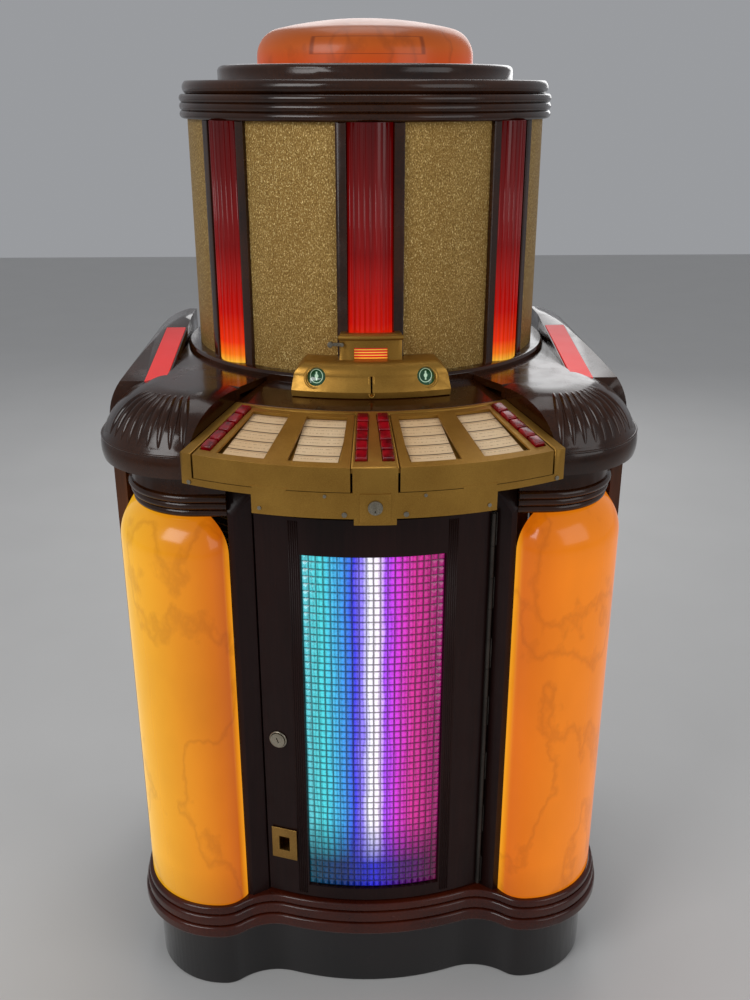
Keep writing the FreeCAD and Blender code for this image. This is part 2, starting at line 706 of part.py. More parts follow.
def make_front_door():
    """Bowed door with a rabbeted window opening, a lock hole and a coin-return hole."""
    inner, outer = D.door_radius - D.door_board, D.door_radius
    half = D.door_half
    slab_corners = [(inner, D.door_bottom), (outer, D.door_bottom), (outer, D.door_top), (inner, D.door_top)]
    panel = turned("door_board_body", slab_corners, -half, half)
    low, high = D.window_bottom, D.window_top
    opening = turned("door_opening", [(inner - 5, low), (outer + 5, low), (outer + 5, high), (inner - 5, high)],
                     -D.window_half, D.window_half)
    grow = D.rabbet
    seat = D.door_radius - 8
    turn = D.window_half + 1.2
    rabbet = turned("door_rabbet", [(inner - 5, low - grow), (seat, low - grow), (seat, high + grow),
                                    (inner - 5, high + grow)], -turn, turn)
    lock_hole = rod("lock_hole", D.lock_barrel + D.fit_gap, 60, *radial_spot(D.door_radius - 40, D.lock_angle,
                    D.lock_height))
    lock_hole.Placement.Rotation = outward_rotation(D.lock_angle)
    cup = cup_box("cup_hole", 36.5, 50.5, 60, D.door_radius - 50)
    node("front_door", cut("door_cut", panel, opening, rabbet, lock_hole, cup))


def radial_spot(radius, angle, height):
    """Coordinates of a point about the drum axis."""
    return around(radius, angle, height)


def outward_rotation(angle):
    """Rotation that turns +Z to point outwards from the drum axis at an angle."""
    outward = Vector(math.sin(math.radians(float(angle))), -math.cos(math.radians(float(angle))), 0)
    return Rotation(Vector(0, 0, 1).cross(outward), 90)


def facing_rotation(angle):
    """Rotation that turns -Y to point outwards at an angle, keeping Z up."""
    return Rotation(UP, float(angle))


def cup_box(name, width, height, depth, radius):
    """Box centred on the coin-return position, facing outwards."""
    box = DOC.addObject("Part::Box", name)
    box.Length, box.Width, box.Height = width, depth, height
    middle = (float(D.cup_bottom) + float(D.cup_top)) / 2
    spot = around(radius, D.cup_angle, middle)
    turn = facing_rotation(D.cup_angle)
    corner = turn.multVec(Vector(-width / 2, -depth, -height / 2))
    box.Placement = Placement(Vector(*[float(s) for s in spot]) + corner, turn)
    return box


def make_door_window():
    """Ribbed glass behind the door opening."""
    outer = D.door_radius - 8.1
    turn = D.window_half + 1.1
    low, high = D.window_bottom - D.rabbet + 1, D.window_top + D.rabbet - 1
    node("door_window", turned("window_glass", [(outer - D.glass, low), (outer, low), (outer, high),
                                                (outer - D.glass, high)], -turn, turn))


def make_door_lock():
    """Lock cylinder with a round head and a key slot."""
    head = rod("lock_head_disc", D.lock_head, 4, *around(D.door_radius + 0.4, D.lock_angle, D.lock_height))
    barrel = rod("lock_shaft", D.lock_barrel, D.door_board + 14, *around(D.door_radius - D.door_board - 12,
                 D.lock_angle, D.lock_height))
    slot = block("lock_slot", (-1, 1), (-5, 5), (0, 3))
    slot.Placement = Placement(Vector(*[float(s) for s in around(D.door_radius + 2, D.lock_angle, D.lock_height)]),
                               outward_rotation(D.lock_angle)).multiply(Placement(Vector(-1, -5, 0), Rotation()))
    for piece in (head, barrel):
        piece.Placement.Rotation = outward_rotation(D.lock_angle)
    node("door_lock", cut("lock_slotted", fuse("lock_solid", [head, barrel]), slot))


def make_coin_return_cup():
    """Brass plate with a finger opening into a small cup behind the door."""
    proud = 3.2
    front = D.door_radius + proud
    plate = cup_box("cup_plate", float(D.cup_width), 66, 1.8, float(front) - 1.8)
    shell = cup_box("cup_shell", 36, 50, 40, float(front) - 41.8)
    hollow = cup_box("cup_hollow", 32, 46, 36, float(front) - 39.8)
    mouth = cup_box("cup_mouth", 20, 30, 6, float(front) - 5)
    node("coin_return_cup", cut("cup_open", fuse("cup_solid", [plate, shell]), hollow, mouth))


def hinge_pivot():
    """Plan position of the door's hinge pin."""
    return around(D.door_radius + D.hinge_lead, D.door_half + 0.2)


def make_door_hinge():
    """Continuous hinge: leaf and knuckles on the post, leaf and knuckles on the door."""
    count, low, high = 13, D.door_bottom + 4, D.door_top - 4
    pitch = (high - low) / count
    x, y, _ = hinge_pivot()
    spans = {"fixed": range(0, count, 2), "door": range(1, count, 2)}
    edges = {"fixed": (D.door_half + D.post_gap - 0.2, D.door_half + D.post_gap),
             "door": (D.door_half, D.door_half + 0.2)}
    results = {}
    for kind, numbers in spans.items():
        inner, outer = D.door_radius - 17, D.door_radius + 1.2
        pieces = [turned(f"leaf_{kind}", [(inner, low), (outer, low), (outer, high), (inner, high)], *edges[kind])]
        for number in numbers:
            pieces.append(rod(f"knuckle_{kind}_{number}", D.knuckle, pitch - 0.6, x, y, low + pitch * number + 0.3))
            pieces.append(knuckle_arm(kind, number, low + pitch * number + 0.3, pitch - 0.6, edges[kind]))
        results[kind] = fuse(f"hinge_{kind}", pieces)
    bore = rod("hinge_bore", D.hinge_pin + D.fit_gap, high - low + 20, x, y, low - 10)
    pin = rod("hinge_pin_rod", D.hinge_pin, high - low + 4, x, y, low - 2)
    fixed = cut("hinge_fixed_bored", results["fixed"], bore)
    node("door_hinge_fixed", group("hinge_fixed_set", [fixed, pin]))
    node("door_hinge_moving", cut("hinge_door_bored", results["door"],
                                  rod("hinge_bore_door", D.hinge_pin + D.fit_gap, high - low + 20, x, y, low - 10)))


def knuckle_arm(kind, number, low, height, edges):
    """Short strap from a hinge leaf to one of its knuckles."""
    outer = D.door_radius + D.hinge_lead + 0.5
    inner = D.door_radius - 1
    return turned(f"strap_{kind}_{number}", [(inner, low), (outer, low), (outer, low + height), (inner, low + height)],
                  *edges)


# ---------------------------------------------------------------- selector

def slope_height(radius, drop=0.0):
    """Height of the selector's sloping top at a radius, less a drop."""
    return D.selector_front + (D.selector_outer - radius) * tangent(D.selector_slope) - drop


def slope_rotation(angle):
    """Rotation from flat, facing front, to lying on the slope at an angle."""
    lean = Rotation(Vector(1, 0, 0), float(D.selector_slope))
    return Rotation(UP, float(angle)).multiply(lean)


def slope_box(name, width, length, height, radius, angle, base):
    """Box lying on the slope, centred at a radius and angle, its foot at a height over the slope."""
    box = DOC.addObject("Part::Box", name)
    bind(box, "Length", width)
    bind(box, "Width", length)
    bind(box, "Height", height)
    turn = slope_rotation(angle)
    corner = Vector(-float(dim(width)) / 2, -float(dim(length)) / 2, float(dim(base)))
    spot = Vector(*[float(s) for s in around(radius, angle, slope_height(radius))])
    box.Placement = Placement(spot + turn.multVec(corner), turn)
    return box


def column_angles():
    """Angle of each button column, as (angle at the row's radius) functions of the radius."""
    centre_gap = D.button_width / 2 + 6.6
    outer = dim(27.4)
    return ((-1, "outer", outer), (-1, "inner", centre_gap), (1, "inner", centre_gap), (1, "outer", outer))


def row_radius(row):
    """Radius of a button row from the drum axis."""
    return D.first_row + D.button_pitch * cosine(D.selector_slope) * row


def column_angle(side, kind, size, radius):
    """Angle of a column at a radius: outer columns are radial, inner ones spread slightly."""
    if kind == "outer":
        return float(size) * side
    spread = float(size) + (float(radius) - float(D.first_row)) * 0.045
    return math.degrees(math.asin(spread / float(radius))) * side


def slope_plate(name, drop_top, drop_bottom, start, end, inner, outer):
    """Plate that follows the slope between two angles and radii."""
    return turned(name, [(inner, slope_height(inner, drop_bottom)), (outer, slope_height(outer, drop_bottom)),
                         (outer, slope_height(outer, drop_top)), (inner, slope_height(inner, drop_top))], start, end)


def column_slots(prefix, grow, depth, top=3.0):
    """Slots for the four button columns."""
    slots = []
    for side, kind, size in column_angles():
        for row in range(int(D.button_rows.value)):
            radius = row_radius(row)
            angle = column_angle(side, kind, size, radius)
            slots.append(slope_box(f"{prefix}_{kind}_{side + 1}_{row}", D.button_width + grow,
                                   D.button_pitch + 0.6 if row < 4 else D.button_length + grow,
                                   depth + top, radius, angle, -depth))
    return slots


def make_selector_housing():
    """Satin gold casting: sloping bed, fascia, stepped skirt with centre tab, and closed underside."""
    inner, outer, wall = D.selector_inner, D.selector_outer, D.thin_wall
    half = D.selector_half
    drop = D.bed_drop
    bed = slope_plate("bed", drop, drop + 3, -half, half, inner, outer - wall)
    fascia = turned("fascia", [(outer - wall, D.selector_bottom), (outer, D.selector_bottom),
                               (outer, slope_height(outer)), (outer - wall, slope_height(outer - wall))], -half, half)
    skirt = turned("skirt", [(outer - wall, D.skirt_bottom), (outer, D.skirt_bottom), (outer, D.selector_bottom + 1),
                             (outer - wall, D.selector_bottom + 1)], -D.skirt_half, D.skirt_half)
    tab = turned("tab", [(outer - wall, D.tab_bottom), (outer, D.tab_bottom), (outer, D.skirt_bottom + 1),
                         (outer - wall, D.skirt_bottom + 1)], -D.tab_half, D.tab_half)
    floor = turned("selector_floor", [(D.door_radius, D.selector_bottom), (outer - 1, D.selector_bottom),
                                      (outer - 1, D.selector_bottom + wall), (D.door_radius, D.selector_bottom + wall)],
                   -half, half)
    rear = turned("selector_rear", [(inner, 1096), (inner + wall, 1096), (inner + wall, slope_height(inner + wall)),
                                    (inner, slope_height(inner))], -half, half)
    centre = slope_plate("centre_strip", 0, drop + 1, -D.cover_start, D.cover_start, inner, outer)
    pieces = [bed, fascia, skirt, tab, floor, rear, centre]
    for side in (-1, 1):
        start, end = sorted((side * D.cover_end.value, side * half.value))
        ends = [(inner, 1096), (D.door_radius + 20, D.selector_bottom + 1), (outer - 1, D.selector_bottom + 1),
                (outer - 1, slope_height(outer - 1)), (inner, slope_height(inner))]
        pieces.append(turned(f"end_wall_{side + 1}", ends, *sorted((side * (half.value - 0.7), side * half.value))))
        pieces.append(slope_plate(f"end_border_{side + 1}", 0, drop + 1, start, end, inner, outer))
    lock_plate = turned("lock_plate", [(outer - 1, 990), (outer + 2, 990), (outer + 2, 1036), (outer - 1, 1036)],
                        -2.3, 2.3)
    whole = fuse("selector_whole", pieces + [lock_plate])
    key_hole = rod("key_hole", D.key_barrel + D.fit_gap, 60, 0, D.axis_back - D.selector_outer + 20, D.key_height, 90,
                   Vector(1, 0, 0))
    recesses = []
    clear = 0.25
    for side in (-1, 1):
        start, end = sorted((side * (D.cover_start.value), side * D.cover_end.value))
        recesses.append(turned(f"cover_recess_{side + 1}", [
            (inner + 8, slope_height(inner + 8, D.cover_plate + D.gap)),
            (outer - wall - 1, slope_height(outer - wall - 1, D.cover_plate + D.gap)),
            (outer - wall - 1, 1037), (outer + 1, 1037), (outer + 1, 1120), (inner + 8, 1180)], start - clear, end + clear))
    slots = column_slots("housing_slot", 1.6, D.bed_drop + 8)
    node("selector_housing", cut("selector_cast", whole, key_hole, *recesses, *slots))


def make_title_cover(side, name):
    """Hinged gold frame over two title windows, with a slot for the outer button column."""
    inner, outer = D.selector_inner + 8.6, D.selector_outer
    clear = 0.1
    start, end = sorted((side * (D.cover_start.value + clear), side * (D.cover_end.value - clear)))
    frame = slope_plate(f"{name}_frame", 0, D.cover_plate, start, end, inner, outer)
    flange = turned(f"{name}_flange", [(outer - 3.6, 1038), (outer, 1038), (outer, slope_height(outer, 1)),
                                       (outer - 3.6, slope_height(outer, 1))], start, end)
    openings = []
    low, high = D.selector_inner + 17, D.selector_outer - 13
    for number, (first, last) in enumerate(((D.window_one_start, D.window_one_end),
                                            (D.window_two_start, D.window_two_end))):
        span = sorted((side * first.value, side * last.value))
        openings.append(slope_plate(f"{name}_opening_{number}", -3, 12, *span, low, high))
    slots = []
    for row in range(int(D.button_rows.value)):
        slots.append(slope_box(f"{name}_slot_{row}", D.button_width + 2.4, D.button_pitch + 2.4, 20, row_radius(row),
                               27.4 * side, -12))
    node(name, cut(f"{name}_open", fuse(f"{name}_whole", [frame, flange]), *openings, *slots))


def make_title_strips():
    """Five card strips under each of the four title windows."""
    strips = []
    centres = ((D.window_one_start + D.window_one_end) / 2, (D.window_two_start + D.window_two_end) / 2)
    for side in (-1, 1):
        for window, centre in enumerate(centres):
            for row in range(int(D.button_rows.value)):
                strips.append(slope_box(f"strip_{side + 1}_{window}_{row}", D.strip_width, D.button_pitch - 1.4, 1,
                                        row_radius(row) + 5, centre.value * side, -(D.bed_drop - 0.05) * cosine(D.selector_slope)))
    node("title_strips", group("strip_group", strips))


def make_buttons():
    """Twenty push buttons, each a domed red cap on a stem, numbered column by column."""
    number = 1
    for side, kind, size in column_angles():
        for row in range(int(D.button_rows.value)):
            radius = row_radius(row)
            angle = column_angle(side, kind, size, radius)
            node(f"button_{number:02d}", make_button(number, radius, angle))
            number += 1


def make_button(number, radius, angle):
    """One push button standing on the slope."""
    body = DOC.addObject("PartDesign::Body", f"button_{number}")
    half_w, half_l = D.button_width / 2, D.button_length / 2
    cap = outline(body, "XY_Plane", [(-half_w, -half_l), (half_w, -half_l), (half_w, half_l), (-half_w, half_l)])
    pad = body.newObject("PartDesign::Pad", "Cap")
    pad.Profile = cap
    bind(pad, "Length", D.button_rise + D.button_travel + 2)
    DOC.recompute()
    soft = body.newObject("PartDesign::Fillet", "Rounding")
    top = float(D.button_rise + D.button_travel + 2)
    edges = [f"Edge{i + 1}" for i, e in enumerate(pad.Shape.Edges) if e.BoundBox.ZMin > top - 0.01]
    soft.Base = (pad, edges)
    soft.Radius = 2.2
    stem = outline(body, "XY_Plane", [(-4, -3), (4, -3), (4, 3), (-4, 3)])
    shaft = body.newObject("PartDesign::Pad", "Stem")
    shaft.Profile = stem
    shaft.Length = 14
    shaft.Reversed = True
    turn = slope_rotation(angle)
    spot = Vector(*[float(s) for s in around(radius, angle, slope_height(radius))])
    sink = turn.multVec(Vector(0, 0, -float(D.button_travel) - 2))
    body.Placement = Placement(spot + sink, turn)
    return body


def make_selector_lock():
    """Key cylinder in the middle of the selector fascia."""
    front = D.axis_back - D.selector_outer
    barrel = rod("key_barrel_rod", D.key_barrel, 20, 0, front + 15, D.key_height, 90, Vector(1, 0, 0))
    slot = block("key_slot", (-1.2, 1.2), (front - 6, front - 2), (D.key_height - 7, D.key_height + 7))
    node("selector_lock", cut("key_cylinder", barrel, slot))


# ---------------------------------------------------------------- coin housing

def make_coin_housing():
    """Gold casting over the coin entry: slot, two round indicators, window and collar."""
    reach = 19.5
    foot = D.coin_foot
    ring_clear = D.foot_radius + D.gap
    face = D.drum_radius + 1.0
    low = 1127
    corners = [(ring_clear, low), (foot - 2, low), (foot, low + 10), (foot - 12, 1158, 26, 1), (foot - 30, D.coin_crest),
               (face, D.coin_crest), (face, D.ring_top + D.gap), (ring_clear, D.ring_top + D.gap)]
    solid = turned("coin_block", corners, -reach, reach)
    half, corner = D.coin_half_width, 40
    top = D.coin_crest + 2
    front_view = padded("coin_front", "XZ_Plane", [
        (-half, 1100), (half, 1100), (half, top - corner, corner, 1), (half - corner, top),
        (-half + corner, top, corner, 1), (-half, top - corner)], 600)
    place(front_view, 0, 300, 0)
    shaped = common("coin_shaped", solid, front_view)
    collar = turned("collar", [(face, D.coin_crest - 10), (346, D.coin_crest - 10), (346, D.collar_top - 8, 9, 1),
                               (339, D.collar_top), (face, D.collar_top)], -8.4, 8.4)
    whole = fuse("coin_whole", [shaped, collar])
    ledge = turned("ledge_space", [(200, 1000), (D.selector_inner, 1000), (D.selector_inner, D.deck_flat + 0.2),
                                   (D.foot_radius, D.deck_rise + 0.2), (200, D.deck_rise + 0.2)], -40, 40)
    hollow = turned("coin_hollow", [(ring_clear - 1, 1110), (foot - 7, 1110), (foot - 7, low + 10), (foot - 34, 1172),
                                    (face + 6, 1172), (face + 6, D.ring_top - 10), (ring_clear - 1, D.ring_top - 10)],
                    -17.5, 17.5)
    channels = turned("channel_space", [(300, 1100), (D.channel_radius + 0.6, 1100), (D.channel_radius + 0.6, 1300),
                                        (300, 1300)], -D.channel_half - 0.2, D.channel_half + 0.2)
    pilaster = turned("pilaster_space", [(300, 1100), (D.pilaster_radius + 0.8, 1100), (D.pilaster_radius + 0.8, 1300),
                                         (300, 1300)], -D.pilaster_half - 0.3, D.pilaster_half + 0.3)
    slot = block("coin_slot", (-D.coin_slot_width / 2, D.coin_slot_width / 2), (-175, -110),
                 (1146 - D.coin_slot_height / 2, 1146 + D.coin_slot_height / 2))
    window = block("instruction_hole", (-27, 27), (-200, -95), (1180, 1200))
    dials = [dial_rod(f"dial_hole_{n}", 15, 60, side, -30) for n, side in enumerate((-1, 1))]
    lever_hole = rod("lever_hole", 3 + D.fit_gap, 30, *around(330, -7.6, 1206))
    lever_hole.Placement.Rotation = outward_rotation(-7.6)
    node("coin_housing", cut("coin_cast", whole, ledge, hollow, channels, pilaster, slot, window, lever_hole, *dials))


def dial_rod(name, radius, length, side, start):
    """Cylinder along a dial's axis, which leans back with the housing's face."""
    spot = around(372, math.degrees(math.asin(float(D.dial_side) / 372)) * side, D.dial_height)
    turn = Rotation(UP, 8.0 * side).multiply(Rotation(Vector(1, 0, 0), 62))
    cylinder = DOC.addObject("Part::Cylinder", name)
    cylinder.Radius, cylinder.Height = float(dim(radius)), length
    base = Vector(*[float(s) for s in spot]) + turn.multVec(Vector(0, 0, start))
    cylinder.Placement = Placement(base, turn)
    return cylinder


def make_coin_housing_windows():
    """Two round indicator lenses and the lit instruction window."""
    lenses = [dial_rod(f"dial_lens_{n}", 14.9, 3, side, -9) for n, side in enumerate((-1, 1))]
    band = turned("instruction_band", [(334, 1180.4), (338, 1180.4), (338, 1199.6), (334, 1199.6)], -4.55, 4.55)
    node("coin_housing_windows", group("lens_group", lenses + [band]))


def make_coin_lever():
    """Small coin-return lever beside the collar: a pivot with a bar and a round finger piece."""
    angle, height, swing = -7.6, 1206, 19
    facing = facing_rotation(angle)
    out = Vector(*[float(s) for s in around(350, angle, height)])
    tip = out + facing.multVec(Vector(-swing, 4, 0))
    pivot = rod("lever_pivot", 3, 22, *around(331, angle, height))
    finger = rod("lever_finger", 4.5, 8, tip.x, tip.y, tip.z)
    for piece in (pivot, finger):
        piece.Placement.Rotation = outward_rotation(angle)
    arm = DOC.addObject("Part::Box", "lever_arm")
    arm.Length, arm.Width, arm.Height = swing, 3, 5
    arm.Placement = Placement(out + facing.multVec(Vector(-swing, 0, -2.5)), facing)
    node("coin_lever", fuse("lever", [pivot, arm, finger]))


# ---------------------------------------------------------------- inside the cabinet

def make_loudspeaker():
    """Cone loudspeaker behind the baffle."""
    body = DOC.addObject("PartDesign::Body", "speaker_body")
    r = D.speaker_radius
    sketch = outline(body, "XZ_Plane", [(0, 60), (36, 48), (r - 24, 0), (r, 0), (r, 5), (r - 16, 8), (60, 78),
                                        (60, 120), (0, 120)])
    turn = body.newObject("PartDesign::Revolution", "Turn")
    turn.Profile = sketch
    turn.ReferenceAxis = (sketch, ["V_Axis"])
    turn.Angle = 360
    body.Placement = Placement(Vector(0, 20, 1345), Rotation(Vector(1, 0, 0), -90))
    node("loudspeaker", body)


def make_amplifier():
    """Amplifier chassis with transformers and valves on the cabinet floor."""
    floor = D.moulding_top
    chassis = block("chassis", (-20, 300), (120, 300), (floor, floor + 70))
    pieces = [chassis]
    for n, x in enumerate((30, 120)):
        pieces.append(block(f"transformer_{n}", (x, x + 70), (215, 285), (floor + 69, floor + 150)))
    for n in range(6):
        pieces.append(rod(f"valve_{n}", 14, 90, 10 + 50 * n, 160, floor + 69))
    node("amplifier", fuse("amplifier_solid", pieces))


def make_changer_frame():
    """Shelf of the record changer with two posts and a top bridge."""
    shelf = block("changer_shelf", (-D.side_half_width + D.board, D.side_half_width - D.board), (-60, 320),
                  (D.shelf_height - 15, D.shelf_height))
    posts = [rod(f"changer_post_{n}", 8, 330, x, 290, D.shelf_height - 1) for n, x in enumerate((-330, -50))]
    bridge = block("changer_bridge", (-345, -35), (275, 305), (D.shelf_height + 328, D.shelf_height + 340))
    spindle_hole = rod("spindle_hole", 6 + D.fit_gap, 60, 190, 110, D.shelf_height - 40)
    arm_hole = rod("arm_hole", 5 + D.fit_gap, 60, 350, 230, D.shelf_height - 40)
    node("changer_frame", cut("changer_cut", fuse("changer_solid", [shelf, bridge] + posts), spindle_hole, arm_hole))


def make_turntable():
    """Turntable platter on its spindle."""
    top = D.shelf_height + 30
    platter = rod("platter", D.record_radius - 10, 8, 190, 110, top)
    hub = rod("platter_hub", 30, 12, 190, 110, top - 10)
    axle = rod("platter_axle", 6, 60, 190, 110, top - 45)
    pip = rod("platter_pip", 3.5, 14, 190, 110, top + 6)
    node("turntable", fuse("turntable_solid", [platter, hub, axle, pip]))


def make_tone_arm():
    """Tone arm on a vertical pivot beside the turntable."""
    level = D.shelf_height + 52
    pivot = rod("arm_pivot", 5, 90, 350, 230, D.shelf_height - 26)
    bearing = rod("arm_bearing", 14, 30, 350, 230, D.shelf_height + 4)
    tube = block("arm_tube", (342, 358), (50, 240), (level, level + 8))
    weight = rod("arm_weight", 16, 26, 350, 262, level - 8)
    link = block("arm_link", (346, 354), (230, 262), (level, level + 6))
    head = block("arm_head", (338, 362), (20, 60), (level - 8, level + 8))
    node("tone_arm", fuse("tone_arm_solid", [pivot, bearing, tube, weight, link, head]))


def make_record_rack():
    """Stack of record trays, each with its record, on a central column."""
    x, y = -190, 110
    low = D.shelf_height
    count = int(D.tray_count.value)
    column = rod("rack_column", 10, 14 * count + 16, x, y, low)
    pieces = [column, rod("rack_foot", 60, 10, x, y, low)]
    for n in range(count):
        pieces.append(rod(f"tray_{n}", D.record_radius, 3, x, y, low + 14 * (n + 1)))
    node("record_rack", fuse("rack_solid", pieces))


def make_cash_box():
    """Open-topped cash box on the cabinet floor behind the coin return."""
    floor = D.moulding_top
    outer = block("cash_outer", (-350, -230), (-20, 110), (floor, floor + 90))
    inner = block("cash_inner", (-347, -233), (-17, 107), (floor + 3, floor + 100))
    handle = block("cash_handle", (-300, -280), (-26, -19), (floor + 40, floor + 56))
    node("cash_box", fuse("cash_box_solid", [cut("cash_tray", outer, inner), handle]))


def make_lamps():
    """Fluorescent tubes behind window and amber panels, and lamps behind pilasters and dome."""
    floor = D.moulding_top
    lamps = []
    for n, (x, y, length) in enumerate(((0, -165, 700), (300, -190, 690), (-300, -190, 690))):
        socket = rod(f"socket_{n}", 18, 26, x, y, floor)
        tube = rod(f"tube_{n}", D.tube_radius, length, x, y, floor + 25)
        lamps.append(fuse(f"tube_lamp_{n}", [socket, tube]))
    for n, centre in enumerate(pilaster_angles()):
        x, y, z = around(322, centre, D.ring_top)
        lamps.append(rod(f"pilaster_lamp_{n}", 4, 60, x, y, z))
    lamps.append(rod("dome_lamp", 10, 40, 0, D.axis_back - 158, D.step_top))
    node("lamps", group("lamp_group", lamps))


def make_colour_screens():
    """Three tinted strips between the window glass and its lamp."""
    edges = (-14.4, -4.6, 4.6, 14.4)
    inner, outer = 444, 446
    screens = []
    for n in range(3):
        corners = [(inner, D.moulding_top), (outer, D.moulding_top), (outer, 906), (inner, 906)]
        screens.append(turned(f"screen_{n}", corners, edges[n] + 0.05, edges[n + 1] - 0.05))
    node("colour_screens", group("screen_group", screens))


def screw(name, radius, angle, height, size):
    """Round screw head standing on a vertical curved face."""
    head = DOC.addObject("Part::Cylinder", name)
    head.Radius, head.Height = size, 1.8
    spot = [float(s) for s in around(radius, angle, height)]
    head.Placement = Placement(Vector(*spot), outward_rotation(angle))
    return head


def make_screws():
    """Screw and rivet heads of the selector fascia."""
    face = D.selector_outer
    places = [(angle, 1003.0, 4.0) for angle in (-4.6, 4.6)] + [(angle, 1031.5, 2.6) for angle in (-7.5, 7.5)]
    places += [(angle, 1030.5, 3.6) for angle in (-29.6, 29.6)] + [(angle, 1006.0, 3.0) for angle in (-17.6, 17.6)]
    heads = [screw(f"screw_{n}", face, angle, height, size) for n, (angle, height, size) in enumerate(places)]
    node("screws", group("screw_group", heads))


# ---------------------------------------------------------------- the whole

def build():
    """Make every sub-part."""
    make_plinth()
    make_base_moulding()
    make_cabinet_shell()
    make_mains_inlet()
    make_rear_door()
    make_front_frame()
    make_neck_mouldings()
    make_amber_panels()
    make_shoulders()
    make_side_windows()
    make_deck()
    make_drum_frame()
    make_grille_panels()
    make_pilasters()
    make_crown()
    make_dome()
    make_front_door()
    make_door_window()
    make_door_lock()
    make_coin_return_cup()
    make_door_hinge()
    make_selector_housing()
    make_title_cover(-1, "title_cover_left")
    make_title_cover(1, "title_cover_right")
    make_title_strips()
    make_buttons()
    make_selector_lock()
    make_coin_housing()
    make_coin_housing_windows()
    make_coin_lever()
    make_loudspeaker()
    make_amplifier()
    make_changer_frame()
    make_turntable()
    make_tone_arm()
    make_record_rack()
    make_cash_box()
    make_lamps()
    make_colour_screens()
    make_screws()


def check():
    """Stop if any object failed or any sub-part is empty or broken."""
    failed = [thing.Name for thing in DOC.Objects if "Invalid" in thing.State or "Error" in thing.State]
    if failed:
        raise RuntimeError(f"failed objects: {failed}")
    for name, thing in NODES.items():
        if thing.Shape.isNull() or not thing.Shape.isValid() or not thing.Shape.Solids:
            raise RuntimeError(f"{name} has no valid shape")


def export():
    """Write one file per sub-part."""
    os.makedirs("parts", exist_ok=True)
    for name, thing in NODES.items():
        thing.Shape.exportStep(f"parts/{name}.step")


build()
DOC.recompute()
check()
export()
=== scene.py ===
"""Floor-standing console jukebox: finishes, surface detail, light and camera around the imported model."""
import logging
from dataclasses import dataclass
from enum import Enum
from math import asin, cos, pi, radians, sin, sqrt
from typing import Any, Optional, Sequence

import bmesh
import bpy
from mathutils import Matrix, Vector


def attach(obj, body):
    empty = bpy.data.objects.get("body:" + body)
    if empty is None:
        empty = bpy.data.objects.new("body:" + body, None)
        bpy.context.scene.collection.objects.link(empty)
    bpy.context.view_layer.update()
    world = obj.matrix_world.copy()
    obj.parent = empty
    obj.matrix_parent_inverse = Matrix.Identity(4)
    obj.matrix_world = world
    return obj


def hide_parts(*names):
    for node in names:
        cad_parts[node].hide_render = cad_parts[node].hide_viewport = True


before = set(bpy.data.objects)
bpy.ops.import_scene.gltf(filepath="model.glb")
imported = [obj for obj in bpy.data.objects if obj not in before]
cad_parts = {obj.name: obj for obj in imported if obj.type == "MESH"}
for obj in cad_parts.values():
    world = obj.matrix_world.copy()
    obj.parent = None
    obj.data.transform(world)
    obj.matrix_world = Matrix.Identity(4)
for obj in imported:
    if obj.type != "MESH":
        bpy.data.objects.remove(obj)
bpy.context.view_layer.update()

LOG = logging.getLogger("jukebox")
DRUM_AXIS = 0.22
SKIN_CREASE = radians(28)
BUILT_CREASE = radians(35)
Piece = bpy.types.Object
Colour = tuple[float, float, float]
Stop = tuple[float, int, int, int]
Inputs = Optional[dict[Any, Any]]


def tone(red: int, green: int, blue: int) -> Colour:
    """Linear colour from three display values of 0 to 255."""
    def line(value: int) -> float:
        """One channel made linear."""
        share = value / 255
        return share / 12.92 if share <= 0.04045 else ((share + 0.055) / 1.055) ** 2.4
    return line(red), line(green), line(blue)


# ---------------------------------------------------------------- node trees

class Value:
    """An output socket that can be used in arithmetic."""

    def __init__(self, graph: "Graph", socket: bpy.types.NodeSocket) -> None:
        """Keep the socket and the graph that it belongs to."""
        self.graph = graph
        self.socket = socket

    def __add__(self, other: Any) -> "Value":
        """This plus other."""
        return self.graph.maths("ADD", self, other)

    __radd__ = __add__

    def __sub__(self, other: Any) -> "Value":
        """This minus other."""
        return self.graph.maths("SUBTRACT", self, other)

    def __rsub__(self, other: Any) -> "Value":
        """Other minus this."""
        return self.graph.maths("SUBTRACT", other, self)

    def __mul__(self, other: Any) -> "Value":
        """This times other."""
        return self.graph.maths("MULTIPLY", self, other)

    __rmul__ = __mul__

    def __truediv__(self, other: Any) -> "Value":
        """This divided by other."""
        return self.graph.maths("DIVIDE", self, other)

    def above(self, other: Any) -> "Value":
        """One where this is greater than other, else zero."""
        return self.graph.maths("GREATER_THAN", self, other)

    def size(self) -> "Value":
        """Absolute value."""
        return self.graph.maths("ABSOLUTE", self)

    def power(self, exponent: float) -> "Value":
        """This raised to a power."""
        return self.graph.maths("POWER", self, exponent)

    def saw(self) -> "Value":
        """Triangle wave of period one: 0 at whole numbers and 0.5 halfway."""
        return self.graph.maths("PINGPONG", self, 0.5)


